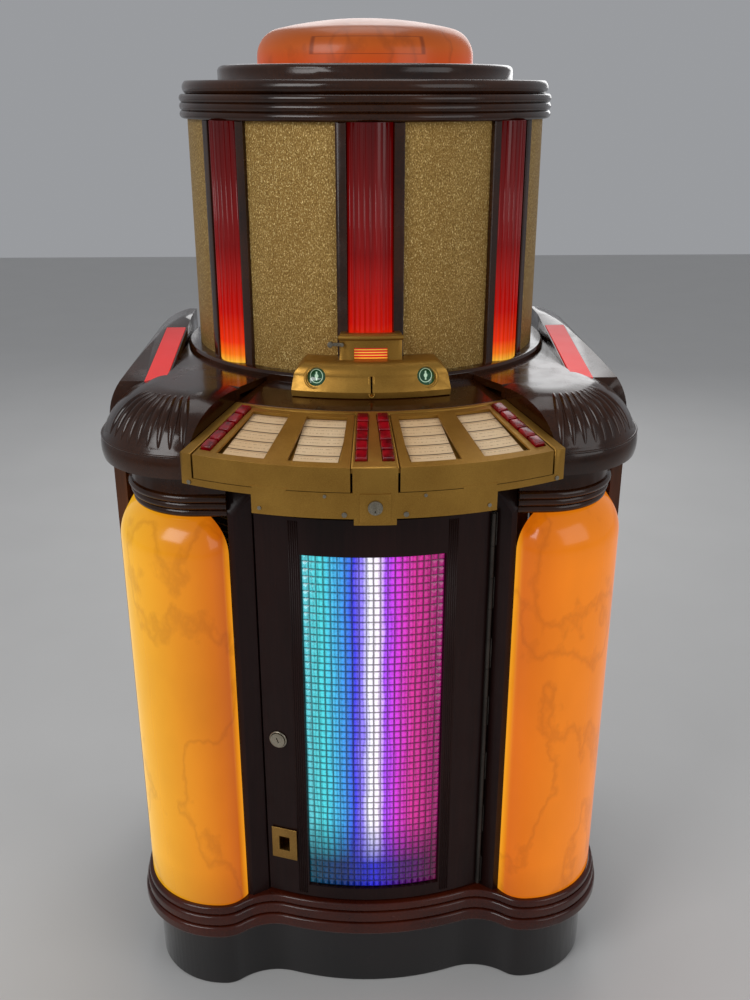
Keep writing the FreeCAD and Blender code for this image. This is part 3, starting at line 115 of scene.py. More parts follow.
class Graph:
    """A node tree with one way of making nodes."""

    def __init__(self, tree: bpy.types.NodeTree) -> None:
        """Keep the tree."""
        self.tree = tree

    def node(self, kind: str, inputs: Inputs = None, **settings: Any) -> bpy.types.Node:
        """Make a node.

        Args:
            kind: type name of the node.
            inputs: numbers or Values for the sockets, by name or number.
            settings: attributes of the node, set first; "stops" fills a colour ramp.

        Returns:
            The new node.
        """
        made = self.tree.nodes.new(kind)
        for key, value in settings.items():
            if key == "stops":
                self._fill(made.color_ramp, value)
            else:
                setattr(made, key, value)
        self.feed(made, inputs or {})
        return made

    def feed(self, made: bpy.types.Node, inputs: dict[Any, Any]) -> None:
        """Link or set the inputs of a node that is already made."""
        for key, value in inputs.items():
            socket = self._find(made.inputs, key)
            if isinstance(value, Value):
                self.tree.links.new(value.socket, socket)
            else:
                socket.default_value = value

    @staticmethod
    def _fill(ramp: bpy.types.ColorRamp, stops: Sequence[Stop]) -> None:
        """Give a colour ramp its stops."""
        for element, (position, *shade) in ((ramp.elements[0], stops[0]), (ramp.elements[-1], stops[-1])):
            element.position = position
            element.color = (*tone(*shade), 1.0)
        for position, *shade in stops[1:-1]:
            ramp.elements.new(position).color = (*tone(*shade), 1.0)

    @staticmethod
    def _find(sockets: Any, key: Any) -> bpy.types.NodeSocket:
        """The enabled socket with this name, or the one with this number."""
        if isinstance(key, int):
            return sockets[key]
        return next(s for s in sockets if s.name == key and s.enabled)

    def out(self, made: bpy.types.Node, key: Any = 0) -> Value:
        """One output of a node, by name or number."""
        return Value(self, self._find(made.outputs, key))

    def made(self, kind: str, inputs: Inputs = None, key: Any = 0, **settings: Any) -> Value:
        """One output of a new node."""
        return self.out(self.node(kind, inputs, **settings), key)

    def maths(self, operation: str, first: Any, second: Any = 0.0) -> Value:
        """Result of one Math node on two numbers or Values."""
        return self.made("ShaderNodeMath", {0: first, 1: second}, operation=operation)

    def waves(self, angle: Any) -> tuple[Value, Value]:
        """Sine and cosine of an angle in radians."""
        return self.maths("SINE", angle), self.maths("COSINE", angle)

    def length(self, x: Any, y: Any) -> Value:
        """Length of a flat vector."""
        return self.made("ShaderNodeVectorMath", {0: self.vector(x, y, 0.0)}, "Value", operation="LENGTH")

    def vector(self, x: Any, y: Any, z: Any) -> Value:
        """Vector from three numbers or Values."""
        return self.made("ShaderNodeCombineXYZ", {"X": x, "Y": y, "Z": z})


class Paint(Graph):
    """One material's tree, around a Principled shader."""

    def __init__(self, name: str) -> None:
        """Start an empty material of this name."""
        self.material = bpy.data.materials.new(f"{name}_finish")
        self.material.use_nodes = True
        super().__init__(self.material.node_tree)
        self.tree.nodes.clear()
        self.shader = self.node("ShaderNodeBsdfPrincipled")
        exit_node = self.node("ShaderNodeOutputMaterial")
        self.tree.links.new(self.shader.outputs[0], exit_node.inputs[0])
        self.here = self.made("ShaderNodeTexCoord", key="Object")
        parts = self.node("ShaderNodeSeparateXYZ", {"Vector": self.here})
        self.x, self.y, self.z = (self.out(parts, axis) for axis in "XYZ")

    def around(self) -> Value:
        """Angle about the drum axis in radians, zero straight ahead."""
        return self.maths("ARCTAN2", self.x, DRUM_AXIS - self.y)

    def noise(self, scale: float, detail: float = 3.0, stretch: Sequence[float] = (1, 1, 1)) -> Value:
        """Noise of a given scale, stretched along the axes."""
        place = self.made("ShaderNodeMapping", {"Vector": self.here, "Scale": stretch})
        return self.made("ShaderNodeTexNoise", {"Vector": place, "Scale": scale, "Detail": detail})

    def ramp(self, value: Value, stops: Sequence[Stop]) -> Value:
        """Colour from a value through a ramp."""
        return self.made("ShaderNodeValToRGB", {0: value}, "Color", stops=stops)

    def span(self, value: Value, low: float, high: float, start: float = 0.0, end: float = 1.0) -> Value:
        """Value mapped from one range to another and held at its ends."""
        return self.made("ShaderNodeMapRange", {"Value": value, "From Min": low, "From Max": high,
                                                "To Min": start, "To Max": end})

    def blend(self, share: Any, first: Any, second: Any) -> Value:
        """Mix of two colours."""
        pair = [c if isinstance(c, Value) else (*c, 1.0) for c in (first, second)]
        made = self.node("ShaderNodeMix", {0: share, 6: pair[0], 7: pair[1]}, data_type="RGBA")
        return Value(self, made.outputs[2])

    def dim(self, colour: Value, share: Value) -> Value:
        """Colour made darker by a share of 0 to 1."""
        return self.blend(share, (0.0, 0.0, 0.0), colour)

    def relief(self, height: Value, depth: float, strength: float = 1.0) -> Value:
        """Normal from a height map."""
        inputs = {"Height": height, "Distance": depth, "Strength": strength}
        return self.made("ShaderNodeBump", inputs, "Normal")

    def apply(self, **inputs: Any) -> bpy.types.Material:
        """Set the shader's sockets, spaces in their names written as underscores, and give the material."""
        self.feed(self.shader, {key.replace("_", " "): value for key, value in inputs.items()})
        return self.material


# ---------------------------------------------------------------- finishes

class Grain(Enum):
    """Which way a finish's streaks run."""
    UPRIGHT = (1.0, 1.0, 0.06)
    NONE = (1.0, 1.0, 1.0)


@dataclass(frozen=True)
class Lacquer:
    """Glossy lacquer over wood or moulding."""
    name: str
    dark: Colour
    light: Colour
    roughness: float = 0.16
    grain: Grain = Grain.NONE
    coat: float = 0.6
    ripple: float = 0.0003
    shine: float = 0.3

    def make(self) -> bpy.types.Material:
        """Material with soft colour clouds, fine grain, dust and rubbed patches."""
        paint = Paint(self.name)
        cloud = paint.noise(9.0, 4.0, self.grain.value)
        fine = paint.noise(220.0, 4.0, self.grain.value)
        worn = paint.span(paint.noise(26.0, 6.0), 0.42, 0.72)
        mixed = paint.span(cloud * 0.7 + fine * 0.3, 0.32, 0.68)
        colour = paint.blend(mixed, self.dark, self.light)
        return paint.apply(
            Base_Color=colour, Roughness=self.roughness + worn * 0.16 + fine * 0.04,
            Coat_Weight=self.coat, Coat_Roughness=0.08, Specular_IOR_Level=self.shine,
            Normal=paint.relief(cloud + fine * 0.25, self.ripple, 0.5))


@dataclass(frozen=True)
class Casting:
    """Satin gold paint on a die casting, or plain worn metal."""
    name: str
    dark: Colour
    light: Colour
    metallic: float = 0.75
    roughness: float = 0.34
    speck: float = 900.0

    def make(self) -> bpy.types.Material:
        """Material with metal flake, tarnish in patches and small scratches."""
        paint = Paint(self.name)
        cloud = paint.noise(14.0, 5.0)
        flake = paint.noise(self.speck, 2.0)
        scratch = paint.noise(160.0, 5.0, (1.0, 1.0, 0.05))
        tarnish = paint.span(paint.noise(34.0, 8.0), 0.5, 0.75)
        colour = paint.blend(paint.span(cloud * 0.5 + flake * 0.5, 0.3, 0.7), self.dark, self.light)
        colour = paint.blend(tarnish * 0.3, colour, self.dark)
        return paint.apply(
            Base_Color=colour, Metallic=self.metallic,
            Roughness=self.roughness + tarnish * 0.15 + scratch * 0.08,
            Normal=paint.relief(flake * 0.5 + scratch, 0.00025, 0.4))


@dataclass(frozen=True)
class GrilleCloth:
    """Metallic gold cloth with a crinkled sparkle, partly painted into its colour as highlight glints."""
    name: str = "gold_grille_cloth"

    def make(self) -> bpy.types.Material:
        """Material with crossing threads, crinkle and painted highlight glints."""
        paint = Paint(self.name)
        threads = 0.0014
        warp = (paint.around() * (0.315 / threads)).saw()
        weft = (paint.z / threads).saw()
        crinkle = paint.noise(620.0, 5.0, (1.0, 1.0, 0.6))
        broad = paint.noise(16.0, 4.0, (1.0, 1.0, 0.25))
        # painted highlight: pale glints painted into the colour at the crinkle peaks, which are also made
        # more metallic and smoother
        painted_glint = paint.span(crinkle, 0.58, 0.68)
        base = paint.blend(paint.span(crinkle, 0.34, 0.64), tone(126, 92, 36), tone(204, 166, 92))
        base = paint.blend(paint.span(broad, 0.35, 0.7) * 0.4, base, tone(156, 116, 50))
        colour = paint.blend(painted_glint, base, tone(250, 226, 160))
        height = warp * 0.5 + weft * 0.5 + crinkle * 1.6
        return paint.apply(
            Base_Color=colour, Metallic=0.55 + painted_glint * 0.3, Roughness=0.5 - painted_glint * 0.22,
            Normal=paint.relief(height, 0.0009, 0.9))


class Lit(Enum):
    """The translucent plastics that are lit from inside."""
    CORNER = "corner"
    DOME = "dome"
    PILASTER = "pilaster"
    CHEEK = "cheek"


@dataclass(frozen=True)
class LitPlastic:
    """Translucent moulded plastic with light behind it."""
    name: str
    which: Lit
    strength: float

    def _glow(self, paint: Paint) -> Value:
        """Colour of the light that comes through."""
        if self.which is Lit.CORNER:
            across = paint.span(paint.x, -0.425, 0.425)
            colour = paint.ramp(across, [
                (0.0, 255, 196, 40), (0.05, 252, 178, 32), (0.12, 236, 148, 20),
                (0.195, 214, 112, 12), (0.215, 200, 96, 10), (0.226, 250, 160, 34),
                (0.774, 255, 170, 40), (0.786, 222, 108, 10), (0.87, 238, 128, 14),
                (0.97, 240, 132, 16), (1.0, 214, 104, 12)])
            ends = paint.span(paint.z, 0.197, 0.27, 0.82) * paint.span(paint.z, 0.955, 0.86, 0.86)
            return paint.dim(colour, ends)
        if self.which is Lit.DOME:
            return paint.ramp(paint.span(paint.z, 1.624, 1.70), [
                (0.0, 232, 84, 14), (0.35, 214, 96, 14), (0.8, 168, 84, 10),
                (1.0, 150, 76, 8)])
        if self.which is Lit.PILASTER:
            return paint.ramp(paint.span(paint.z, 1.15, 1.54), [
                (0.0, 255, 190, 60), (0.035, 255, 120, 26), (0.09, 240, 52, 14),
                (0.22, 190, 16, 8), (0.5, 120, 4, 4), (1.0, 70, 0, 0)])
        return paint.ramp(paint.span(paint.y, -0.074, 0.186), [
            (0.0, 240, 46, 42), (0.5, 226, 34, 34), (1.0, 200, 24, 26)])

    def make(self) -> bpy.types.Material:
        """Material with marbled colour, faint veins and a moulded gloss."""
        paint = Paint(self.name)
        glow = self._glow(paint)
        marble = paint.noise(7.0, 8.0, (1.0, 1.0, 0.55))
        twisted = paint.noise(5.0, 6.0, (1.0, 1.0, 0.8))
        vein = 1.0 - paint.span((marble - twisted).size(), 0.0, 0.035)
        veins = {Lit.CORNER: 0.2, Lit.DOME: 0.3, Lit.PILASTER: 0.0, Lit.CHEEK: 0.0}[self.which]
        satin = {Lit.CORNER: 0.12, Lit.DOME: 0.3, Lit.PILASTER: 0.16, Lit.CHEEK: 0.42}[self.which]
        cloud = paint.span(marble, 0.3, 0.7, 0.86, 1.0)
        lit = paint.dim(glow, cloud)
        lit = paint.blend(vein * veins, lit, tone(120, 52, 6))
        if self.which is Lit.DOME:
            lit = self._plate(paint, lit)
        if self.which is Lit.PILASTER:
            lit = paint.dim(lit, paint.span(paint.noise(180.0, 2.0, (1.0, 1.0, 0.01)), 0.3, 0.6, 0.7, 1.0))
        fine = paint.noise(60.0, 3.0)
        return paint.apply(
            Base_Color=paint.dim(lit, paint.span(cloud, 0.8, 1.0, 0.07, 0.1)),
            Emission_Color=lit, Emission_Strength=self.strength, Specular_IOR_Level=0.35,
            Roughness=satin + paint.noise(30.0, 5.0) * 0.12, Coat_Weight=0.12,
            Coat_Roughness=0.06, Normal=paint.relief(marble + fine * 0.1, 0.0004, 0.4))

    @staticmethod
    def _plate(paint: Paint, colour: Value) -> Value:
        """The faint outline of a blank name plate on the dome's front."""
        across = (paint.around() / 0.5).size()
        up = ((paint.z - 1.652) / 0.013).size()
        reach = paint.maths("MAXIMUM", across, up)
        front = (DRUM_AXIS - paint.y).above(0.06)
        line = (1.0 - paint.span((reach - 1.0).size(), 0.02, 0.06)) * front
        return paint.blend(line * 0.55, colour, tone(90, 26, 4))


@dataclass(frozen=True)
class PrismGlass:
    """Pressed prismatic glass with coloured tubes behind it."""
    name: str = "prism_glass"
    columns: int = 20
    rows: int = 50
    half: float = radians(14.08)
    low: float = 0.228
    high: float = 0.894
    strength: float = 1.15

    def make(self) -> bpy.types.Material:
        """Material whose light runs from turquoise through white to magenta, cell by cell."""
        paint = Paint(self.name)
        angle = paint.around()
        column = angle * (self.columns / (2 * self.half))
        row = (paint.z - self.low) * (self.rows / (self.high - self.low))
        wander = paint.noise(40.0, 2.0, (1.0, 1.0, 0.3)) - 0.5
        across = paint.span(angle / self.half + wander * 0.1, -1.0, 1.0)
        light = paint.ramp(across, [
            (0.0, 90, 190, 200), (0.14, 70, 206, 216), (0.27, 60, 160, 230),
            (0.36, 50, 50, 220), (0.42, 150, 130, 255), (0.47, 246, 244, 255),
            (0.53, 250, 236, 255), (0.58, 170, 70, 250), (0.66, 206, 50, 214),
            (0.78, 206, 44, 150), (0.9, 176, 34, 120), (1.0, 140, 26, 96)])
        low_light = paint.ramp(across, [
            (0.0, 20, 70, 86), (0.3, 16, 40, 110), (0.5, 40, 40, 200),
            (0.7, 70, 20, 110), (1.0, 90, 14, 56)])
        colour = paint.blend(paint.span(paint.z, self.low + 0.05, self.low + 0.15), low_light, light)
        stripe = paint.span((across * 26.0).saw(), 0.05, 0.3, 0.62, 1.0)
        edge = paint.maths("MINIMUM", column.saw(), row.saw())
        cell = paint.span(edge, 0.03, 0.2, 0.2, 1.0)
        spark = paint.span(paint.noise(420.0, 2.0), 0.3, 0.7, 0.7, 1.25)
        lit = paint.dim(colour, cell * stripe * spark)
        return paint.apply(
            Base_Color=paint.dim(colour, cell * 0.25), Emission_Color=lit,
            Emission_Strength=self.strength, Roughness=0.08 + paint.noise(90.0) * 0.06,
            Coat_Weight=0.6, Coat_Roughness=0.03,
            Normal=paint.relief(paint.noise(300.0, 2.0), 0.0004, 0.5))


@dataclass(frozen=True)
class TitleCard:
    """Aged cream title strips with ruled lines."""
    name: str = "title_card"
    first_row: float = 0.444
    pitch: float = 0.02444
    line: float = 0.17

    def make(self) -> bpy.types.Material:
        """Material of mottled paper with broken rules on each strip, painted shade in the gap between strips,
        and a faint painted glow.
        """
        paint = Paint(self.name)
        fibre = paint.noise(900.0, 4.0)
        stain = paint.noise(9.0, 5.0)
        colour = paint.blend(paint.span(stain, 0.3, 0.7), tone(228, 200, 160), tone(212, 176, 130))
        row = ((paint.length(paint.x, DRUM_AXIS - paint.y) - self.first_row) / self.pitch).saw()
        rule = 1.0 - paint.span((row - self.line).size(), 0.02, 0.045)
        broken = paint.span(paint.noise(520.0, 1.0, (1.0, 0.2, 0.2)), 0.46, 0.56)
        colour = paint.blend(rule * broken * 0.5, colour, tone(120, 74, 60))
        # painted shade: the colour is darkened at each boundary, where the gap between strips lies in shadow
        colour = paint.blend(paint.span(row, 0.44, 0.475), colour, tone(60, 38, 18))
        # the faint emission is painted light that brightens the strips
        return paint.apply(
            Base_Color=colour, Roughness=0.55 + fibre * 0.2, Emission_Color=colour,
            Emission_Strength=0.06, Normal=paint.relief(fibre, 0.0001, 0.5))


@dataclass(frozen=True)
class CoinWindows:
    """Green indicator lenses with pale marks, and the barred red instruction window."""
    name: str = "coin_windows"

    def make(self) -> bpy.types.Material:
        """Material that draws each lens's ring and pointer from its distance to the lens centre, and glows
        with painted light.
        """
        paint = Paint(self.name)
        side = paint.x.size() - 0.088
        up = paint.z - 1.157
        reach = paint.length(side, up)
        ring = 1.0 - paint.span((reach - 0.0098).size(), 0.0003, 0.0007)
        dot = 1.0 - paint.span(reach, 0.0026, 0.0032)
        bar = (1.0 - paint.span(side.size(), 0.001, 0.0014)) * (0.0065 - up.size()).above(0.0)
        marks = paint.maths("MAXIMUM", ring, paint.maths("MAXIMUM", dot, bar))
        mottled = paint.blend(paint.noise(90.0, 4.0), tone(6, 40, 22), tone(20, 74, 40))
        lens = paint.blend(marks * 0.8, mottled, tone(190, 220, 190))
        bars = paint.span((paint.z * 220.0).saw(), 0.16, 0.22)
        sign = paint.blend(bars, tone(240, 180, 60), tone(206, 22, 14))
        colour = paint.blend(paint.z.above(1.178), lens, sign)
        # painted light: the emission makes the lenses and the instruction window glow as if lit from behind
        return paint.apply(
            Base_Color=colour, Emission_Color=colour, Emission_Strength=0.55,
            Roughness=0.1 + paint.noise(50.0) * 0.08, Coat_Weight=0.6)


@dataclass(frozen=True)
class SoftPlastic:
    """Small moulded parts: buttons, trays, black fittings, lamp glass and tinted strips."""
    name: str
    dark: Colour
    light: Colour
    roughness: float = 0.25
    glow: float = 0.0
    coat: float = 0.3

    def make(self) -> bpy.types.Material:
        """Material with swirled colour, scuffs and a fine moulded texture."""
        paint = Paint(self.name)
        swirl = paint.noise(70.0, 5.0)
        scuff = paint.span(paint.noise(40.0, 8.0), 0.48, 0.7)
        colour = paint.blend(paint.span(swirl, 0.35, 0.65), self.dark, self.light)
        return paint.apply(
            Base_Color=colour, Roughness=self.roughness + scuff * 0.2, Coat_Weight=self.coat,
            Emission_Color=colour, Emission_Strength=self.glow,
            Normal=paint.relief(paint.noise(600.0, 2.0) + scuff * 0.3, 0.00012, 0.4))


@dataclass(frozen=True)
class TintedFilm:
    """Coloured strips behind the door glass: blue, clear and rose."""
    name: str = "tinted_film"

    def make(self) -> bpy.types.Material:
        """Material with one tint per strip, streaked from top to bottom, that glows with painted light."""
        paint = Paint(self.name)
        tint = paint.ramp(paint.span(paint.x, -0.11, 0.11), [
            (0.0, 40, 130, 180), (0.36, 50, 90, 210), (0.42, 190, 190, 235),
            (0.58, 220, 190, 230), (0.64, 190, 50, 190), (1.0, 190, 40, 110)])
        streak = paint.noise(40.0, 4.0, (1.0, 1.0, 0.04))
        lit = paint.dim(tint, paint.span(streak, 0.3, 0.7, 0.6, 1.0))
        # painted light: the emission makes the film glow as if the tubes behind it shone through
        return paint.apply(
            Base_Color=lit, Roughness=0.3 + streak * 0.15, Emission_Color=lit,
            Emission_Strength=0.5)


MADE: dict[str, bpy.types.Material] = {}
SLOTS = {"dome_plastic": "amber_plastic", "red_pilaster": "red_plastic", "red_side_window": "red_lit_plastic",
         "prism_glass": "ribbed_glass", "coin_windows": "green_lens", "soft_black": "speaker_black",
         "grey_enamel": "grey_steel", "gold_grille_cloth": "grille_cloth"}


class Finish(Enum):
    """Every finish on the object."""
    PLINTH = Lacquer("black_gloss", tone(8, 7, 8), tone(24, 18, 18), 0.1, coat=0.7)
    BASE = Lacquer("reddish_moulding", tone(42, 12, 6), tone(78, 28, 12), 0.15, coat=0.25)
    BROWN = Lacquer("brown_moulding", tone(28, 11, 3), tone(60, 28, 6), 0.14, coat=0.25)
    MAROON = Lacquer("dark_maroon", tone(22, 9, 8), tone(42, 20, 17), 0.34, Grain.UPRIGHT, 0.06, shine=0.16)
    WOOD = Lacquer("cabinet_wood", tone(60, 32, 16), tone(104, 62, 32), 0.34, Grain.UPRIGHT, 0.25)
    GOLD = Casting("gold_casting", tone(142, 102, 38), tone(184, 140, 62), 0.8, 0.32)
    NICKEL = Casting("aged_nickel", tone(92, 86, 76), tone(186, 178, 160), 0.95, 0.26)
    STEEL = Casting("hinge_steel", tone(40, 36, 34), tone(84, 78, 72), 0.8, 0.42)
    BRASS = Casting("coin_brass", tone(112, 80, 34), tone(184, 144, 76), 0.85, 0.32)
    ENAMEL = Casting("grey_enamel", tone(58, 60, 64), tone(98, 100, 104), 0.3, 0.42)
    CLOTH = GrilleCloth()
    AMBER = LitPlastic("amber_plastic", Lit.CORNER, 0.92)
    DOME = LitPlastic("dome_plastic", Lit.DOME, 0.62)
    RED = LitPlastic("red_pilaster", Lit.PILASTER, 1.0)
    CHEEK = LitPlastic("red_side_window", Lit.CHEEK, 0.85)
    PRISM = PrismGlass()
    CARD = TitleCard()
    COIN_WINDOWS = CoinWindows()
    # The buttons' faint glow is painted light.
    BUTTON = SoftPlastic("button_red", tone(84, 0, 8), tone(150, 4, 20), 0.14, 0.06, 0.4)
    BLACK = SoftPlastic("soft_black", tone(14, 13, 13), tone(34, 32, 32), 0.5)
    SHELLAC = SoftPlastic("shellac_black", tone(10, 10, 12), tone(30, 28, 30), 0.22)
    LAMP = SoftPlastic("lamp_glass", tone(255, 214, 150), tone(255, 240, 214), 0.2, 2.0)
    FILM = TintedFilm()

    @property
    def slot(self) -> str:
        """Name of the material slot listed for the finish in SLOTS."""
        return SLOTS.get(self.value.name, self.value.name)

    def material(self) -> bpy.types.Material:
        """The finish's material, made on first use."""
        if self.name not in MADE:
            MADE[self.name] = self.value.make()
        return MADE[self.name]


# ---------------------------------------------------------------- making pieces

def linked(name: str, data: Any) -> Piece:
    """New object in the scene for a mesh, curve, light or camera."""
    made = bpy.data.objects.new(name, data)
    bpy.context.scene.collection.objects.link(made)
    return made


def shown(name: str, mesh: bpy.types.Mesh, finish: Finish, crease: float) -> Piece:
    """Smooth-shaded object from a mesh, sharp where faces meet at more than the crease angle."""
    mesh.materials.append(finish.material())
    mesh.polygons.foreach_set("use_smooth", [True] * len(mesh.polygons))
    mesh.set_sharp_from_angle(angle=crease)
    return linked(name, mesh)


def about_drum(reach: float, turn: float, height: float) -> Vector:
    """Point at a distance and angle from the drum axis, zero straight ahead."""
    return Vector((reach * sin(turn), DRUM_AXIS - reach * cos(turn), height))


def circle(radius: float, steps: int) -> list[tuple[float, float]]:
    """Corners of a flat circle about the origin."""
    turns = [2 * pi * step / steps for step in range(steps)]
    return [(radius * cos(turn), radius * sin(turn)) for turn in turns]


@dataclass
class Maker:
    """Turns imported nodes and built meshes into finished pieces."""
    body: str

    def register(self, piece: Piece, replaced: Sequence[str] = ()) -> None:
        """Parent a piece to its body's empty and hide the nodes that it stands for.

        Args:
            piece: the finished object.
            replaced: nodes that it stands for.
        """
        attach(piece, self.body)
        if replaced:
            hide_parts(*replaced)
        LOG.info("%s rides on %s with %d faces", piece.name, self.body, len(piece.data.polygons))

    def skin(self, node: str, finish: Finish, edge: float) -> None:
        """Smooth-shaded copy of a node with softened edges, standing for the node.

        Args:
            node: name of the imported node.
            finish: its finish.
            edge: width of the softened edges in metres; zero leaves them sharp.
        """
        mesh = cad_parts[node].data.copy()
        work = bmesh.new()
        work.from_mesh(mesh)
        bmesh.ops.remove_doubles(work, verts=work.verts, dist=1e-5)
        bmesh.ops.dissolve_degenerate(work, dist=1e-6, edges=work.edges)
        work.to_mesh(mesh)
        work.free()
        mesh.materials.clear()
        mesh.name = f"{node}_finished"
        piece = shown(f"{node}_finished", mesh, finish, SKIN_CREASE)
        if edge > 0:
            soften = piece.modifiers.new("soft_edges", "BEVEL")
            soften.width = edge
            soften.segments = 2
            soften.limit_method = "ANGLE"
            soften.angle_limit = BUILT_CREASE
            soften.harden_normals = True
        self.register(piece, [node])


class Recipe(Graph):
    """A Geometry Nodes tree with named sizes, turned into a plain mesh."""

    SOCKETS = {float: "NodeSocketFloat", int: "NodeSocketInt"}

    def __init__(self, name: str, sizes: dict[str, float], finish: Finish) -> None:
        """Start a tree.

        Args:
            name: name of the piece.
            sizes: named inputs and their numbers.
            finish: material set on the result.
        """
        super().__init__(bpy.data.node_groups.new(name, "GeometryNodeTree"))
        self.name = name
        self.sizes = sizes
        self.finish = finish
        self.keys: dict[str, str] = {}
        for label, value in sizes.items():
            self.keys[label] = self._socket(label, "INPUT", self.SOCKETS[type(value)])
        self._socket("Geometry", "OUTPUT", "NodeSocketGeometry")
        self.entry = self.node("NodeGroupInput")

    def _socket(self, label: str, side: str, kind: str) -> str:
        """Identifier of a new input or output of the tree."""
        return self.tree.interface.new_socket(label, in_out=side, socket_type=kind).identifier

    def __getitem__(self, label: str) -> Value:
        """One named size."""
        return Value(self, self.entry.outputs[label])

    def index(self) -> Value:
        """Number of the point."""
        return self.made("GeometryNodeInputIndex")

    def row(self, count: Value, position: Value) -> Value:
        """Points, each moved to a position worked out for it."""
        line = self.made("GeometryNodeMeshLine", {"Count": count, "Offset": (0.0, 0.0, 0.0)}, mode="OFFSET")
        return self.made("GeometryNodeSetPosition", {"Geometry": line, "Position": position})

    def copies(self, points: Value, shape: Value, turn: Value, scale: Any = (1.0, 1.0, 1.0)) -> Value:
        """Shape copied to every point with a turn about the upright axis."""
        euler = self.vector(0.0, 0.0, turn)
        return self.made("GeometryNodeInstanceOnPoints", {
            "Points": points, "Instance": shape, "Rotation": euler, "Scale": scale})

    def around_drum(self, reach: Value, angle: Value, height: Any) -> Value:
        """Position at a distance and angle from the drum axis."""
        sine, cosine = self.waves(angle)
        return self.vector(reach * sine, DRUM_AXIS - reach * cosine, height)

    def moved(self, shape: Value, shift: Any = (0.0, 0.0, 0.0), turn: Any = (0.0, 0.0, 0.0)) -> Value:
        """Shape turned and then moved."""
        return self.made("GeometryNodeTransform", {
            "Geometry": shape, "Translation": shift, "Rotation": turn})

    def result(self, shape: Value, smooth: bool = True) -> Piece:
        """End the tree, run it and keep its plain mesh."""
        solid = self.made("GeometryNodeRealizeInstances", {"Geometry": shape})
        shaded = self.made("GeometryNodeSetShadeSmooth", {"Geometry": solid, "Shade Smooth": smooth})
        finish = self.finish.material()
        coated = self.made("GeometryNodeSetMaterial", {"Geometry": shaded, "Material": finish})
        self.node("NodeGroupOutput", {0: coated})
        holder = linked(self.name, bpy.data.meshes.new(self.name))
        live = holder.modifiers.new("recipe", "NODES")
        live.node_group = self.tree
        for label, value in self.sizes.items():
            live[self.keys[label]] = value
        ready = holder.evaluated_get(bpy.context.evaluated_depsgraph_get())
        mesh = bpy.data.meshes.new_from_object(ready)
        holder.modifiers.clear()
        holder.data = mesh
        if not mesh.materials:
            mesh.materials.append(finish)
        return holder


def kept(name: str, work: bmesh.types.BMesh, finish: Finish) -> Piece:
    """Object from a built mesh, smooth-shaded, with its normals outwards."""
    bmesh.ops.recalc_face_normals(work, faces=work.faces)
    mesh = bpy.data.meshes.new(name)
    work.to_mesh(mesh)
    work.free()
    return shown(name, mesh, finish, BUILT_CREASE)


def swept(name: str, path: Sequence[Sequence[float]], radius: float, finish: Finish,
          closed: bool = False) -> Piece:
    """Round bar along a path.

    Args:
        name: name of the piece.
        path: its middle line.
        radius: half its thickness.
        finish: its finish.
        closed: whether the end meets the start.

    Returns:
        The bar as a mesh.
    """
    curve = bpy.data.curves.new(name, "CURVE")
    curve.dimensions = "3D"
    curve.bevel_depth = radius
    curve.bevel_resolution = 4
    curve.use_fill_caps = not closed
    spline = curve.splines.new("POLY")
    spline.points.add(len(path) - 1)
    for point, place in zip(spline.points, path):
        point.co = (*place, 1.0)
    spline.use_cyclic_u = closed
    holder = linked(name, curve)
    ready = holder.evaluated_get(bpy.context.evaluated_depsgraph_get())
    mesh = bpy.data.meshes.new_from_object(ready)
    bpy.data.objects.remove(holder)
    work = bmesh.new()
    work.from_mesh(mesh)
    bmesh.ops.remove_doubles(work, verts=work.verts, dist=1e-6)
    return kept(name, work, finish)


def arc_plate(name: str, outline: Sequence[tuple[float, float]], front: float, thickness: float,
              finish: Finish) -> Piece:
    """Flat-faced plate bent round the drum axis.

    Args:
        name: name of the piece.
        outline: corners as (angle in radians, height).
        front: distance of its face from the drum axis.
        thickness: how thick it is.
        finish: its finish.

    Returns:
        The plate.
    """
    work = bmesh.new()
    layers = []
    for reach in (front, front - thickness):
        layers.append([work.verts.new(about_drum(reach, turn, height)) for turn, height in outline])
    work.faces.new(layers[0])
    work.faces.new(list(reversed(layers[1])))
    count = len(outline)
    for first in range(count):
        second = (first + 1) % count
        work.faces.new((layers[0][first], layers[1][first], layers[1][second], layers[0][second]))
    return kept(name, work, finish)


# ---------------------------------------------------------------- sub-assemblies

SIDES = ((-1, "left"), (1, "right"))


@dataclass
class Base:
    """Plinth, ribbed moulding and carcass."""
    body: str = "cabinet"

    def build(self) -> None:
        """Dress the lower cabinet."""
        maker = Maker(self.body)
        maker.skin("plinth", Finish.PLINTH, 0.003)
        maker.skin("base_moulding", Finish.BASE, 0.0)
        maker.skin("cabinet_shell", Finish.WOOD, 0.0012)
        maker.skin("front_frame", Finish.MAROON, 0.002)
        maker.skin("neck_mouldings", Finish.BROWN, 0.001)
        maker.skin("amber_panels", Finish.AMBER, 0.002)
        maker.skin("mains_inlet", Finish.BLACK, 0.0004)
        maker.skin("door_hinge_fixed", Finish.STEEL, 0.0)
        Maker("rear_door").skin("rear_door", Finish.WOOD, 0.001)


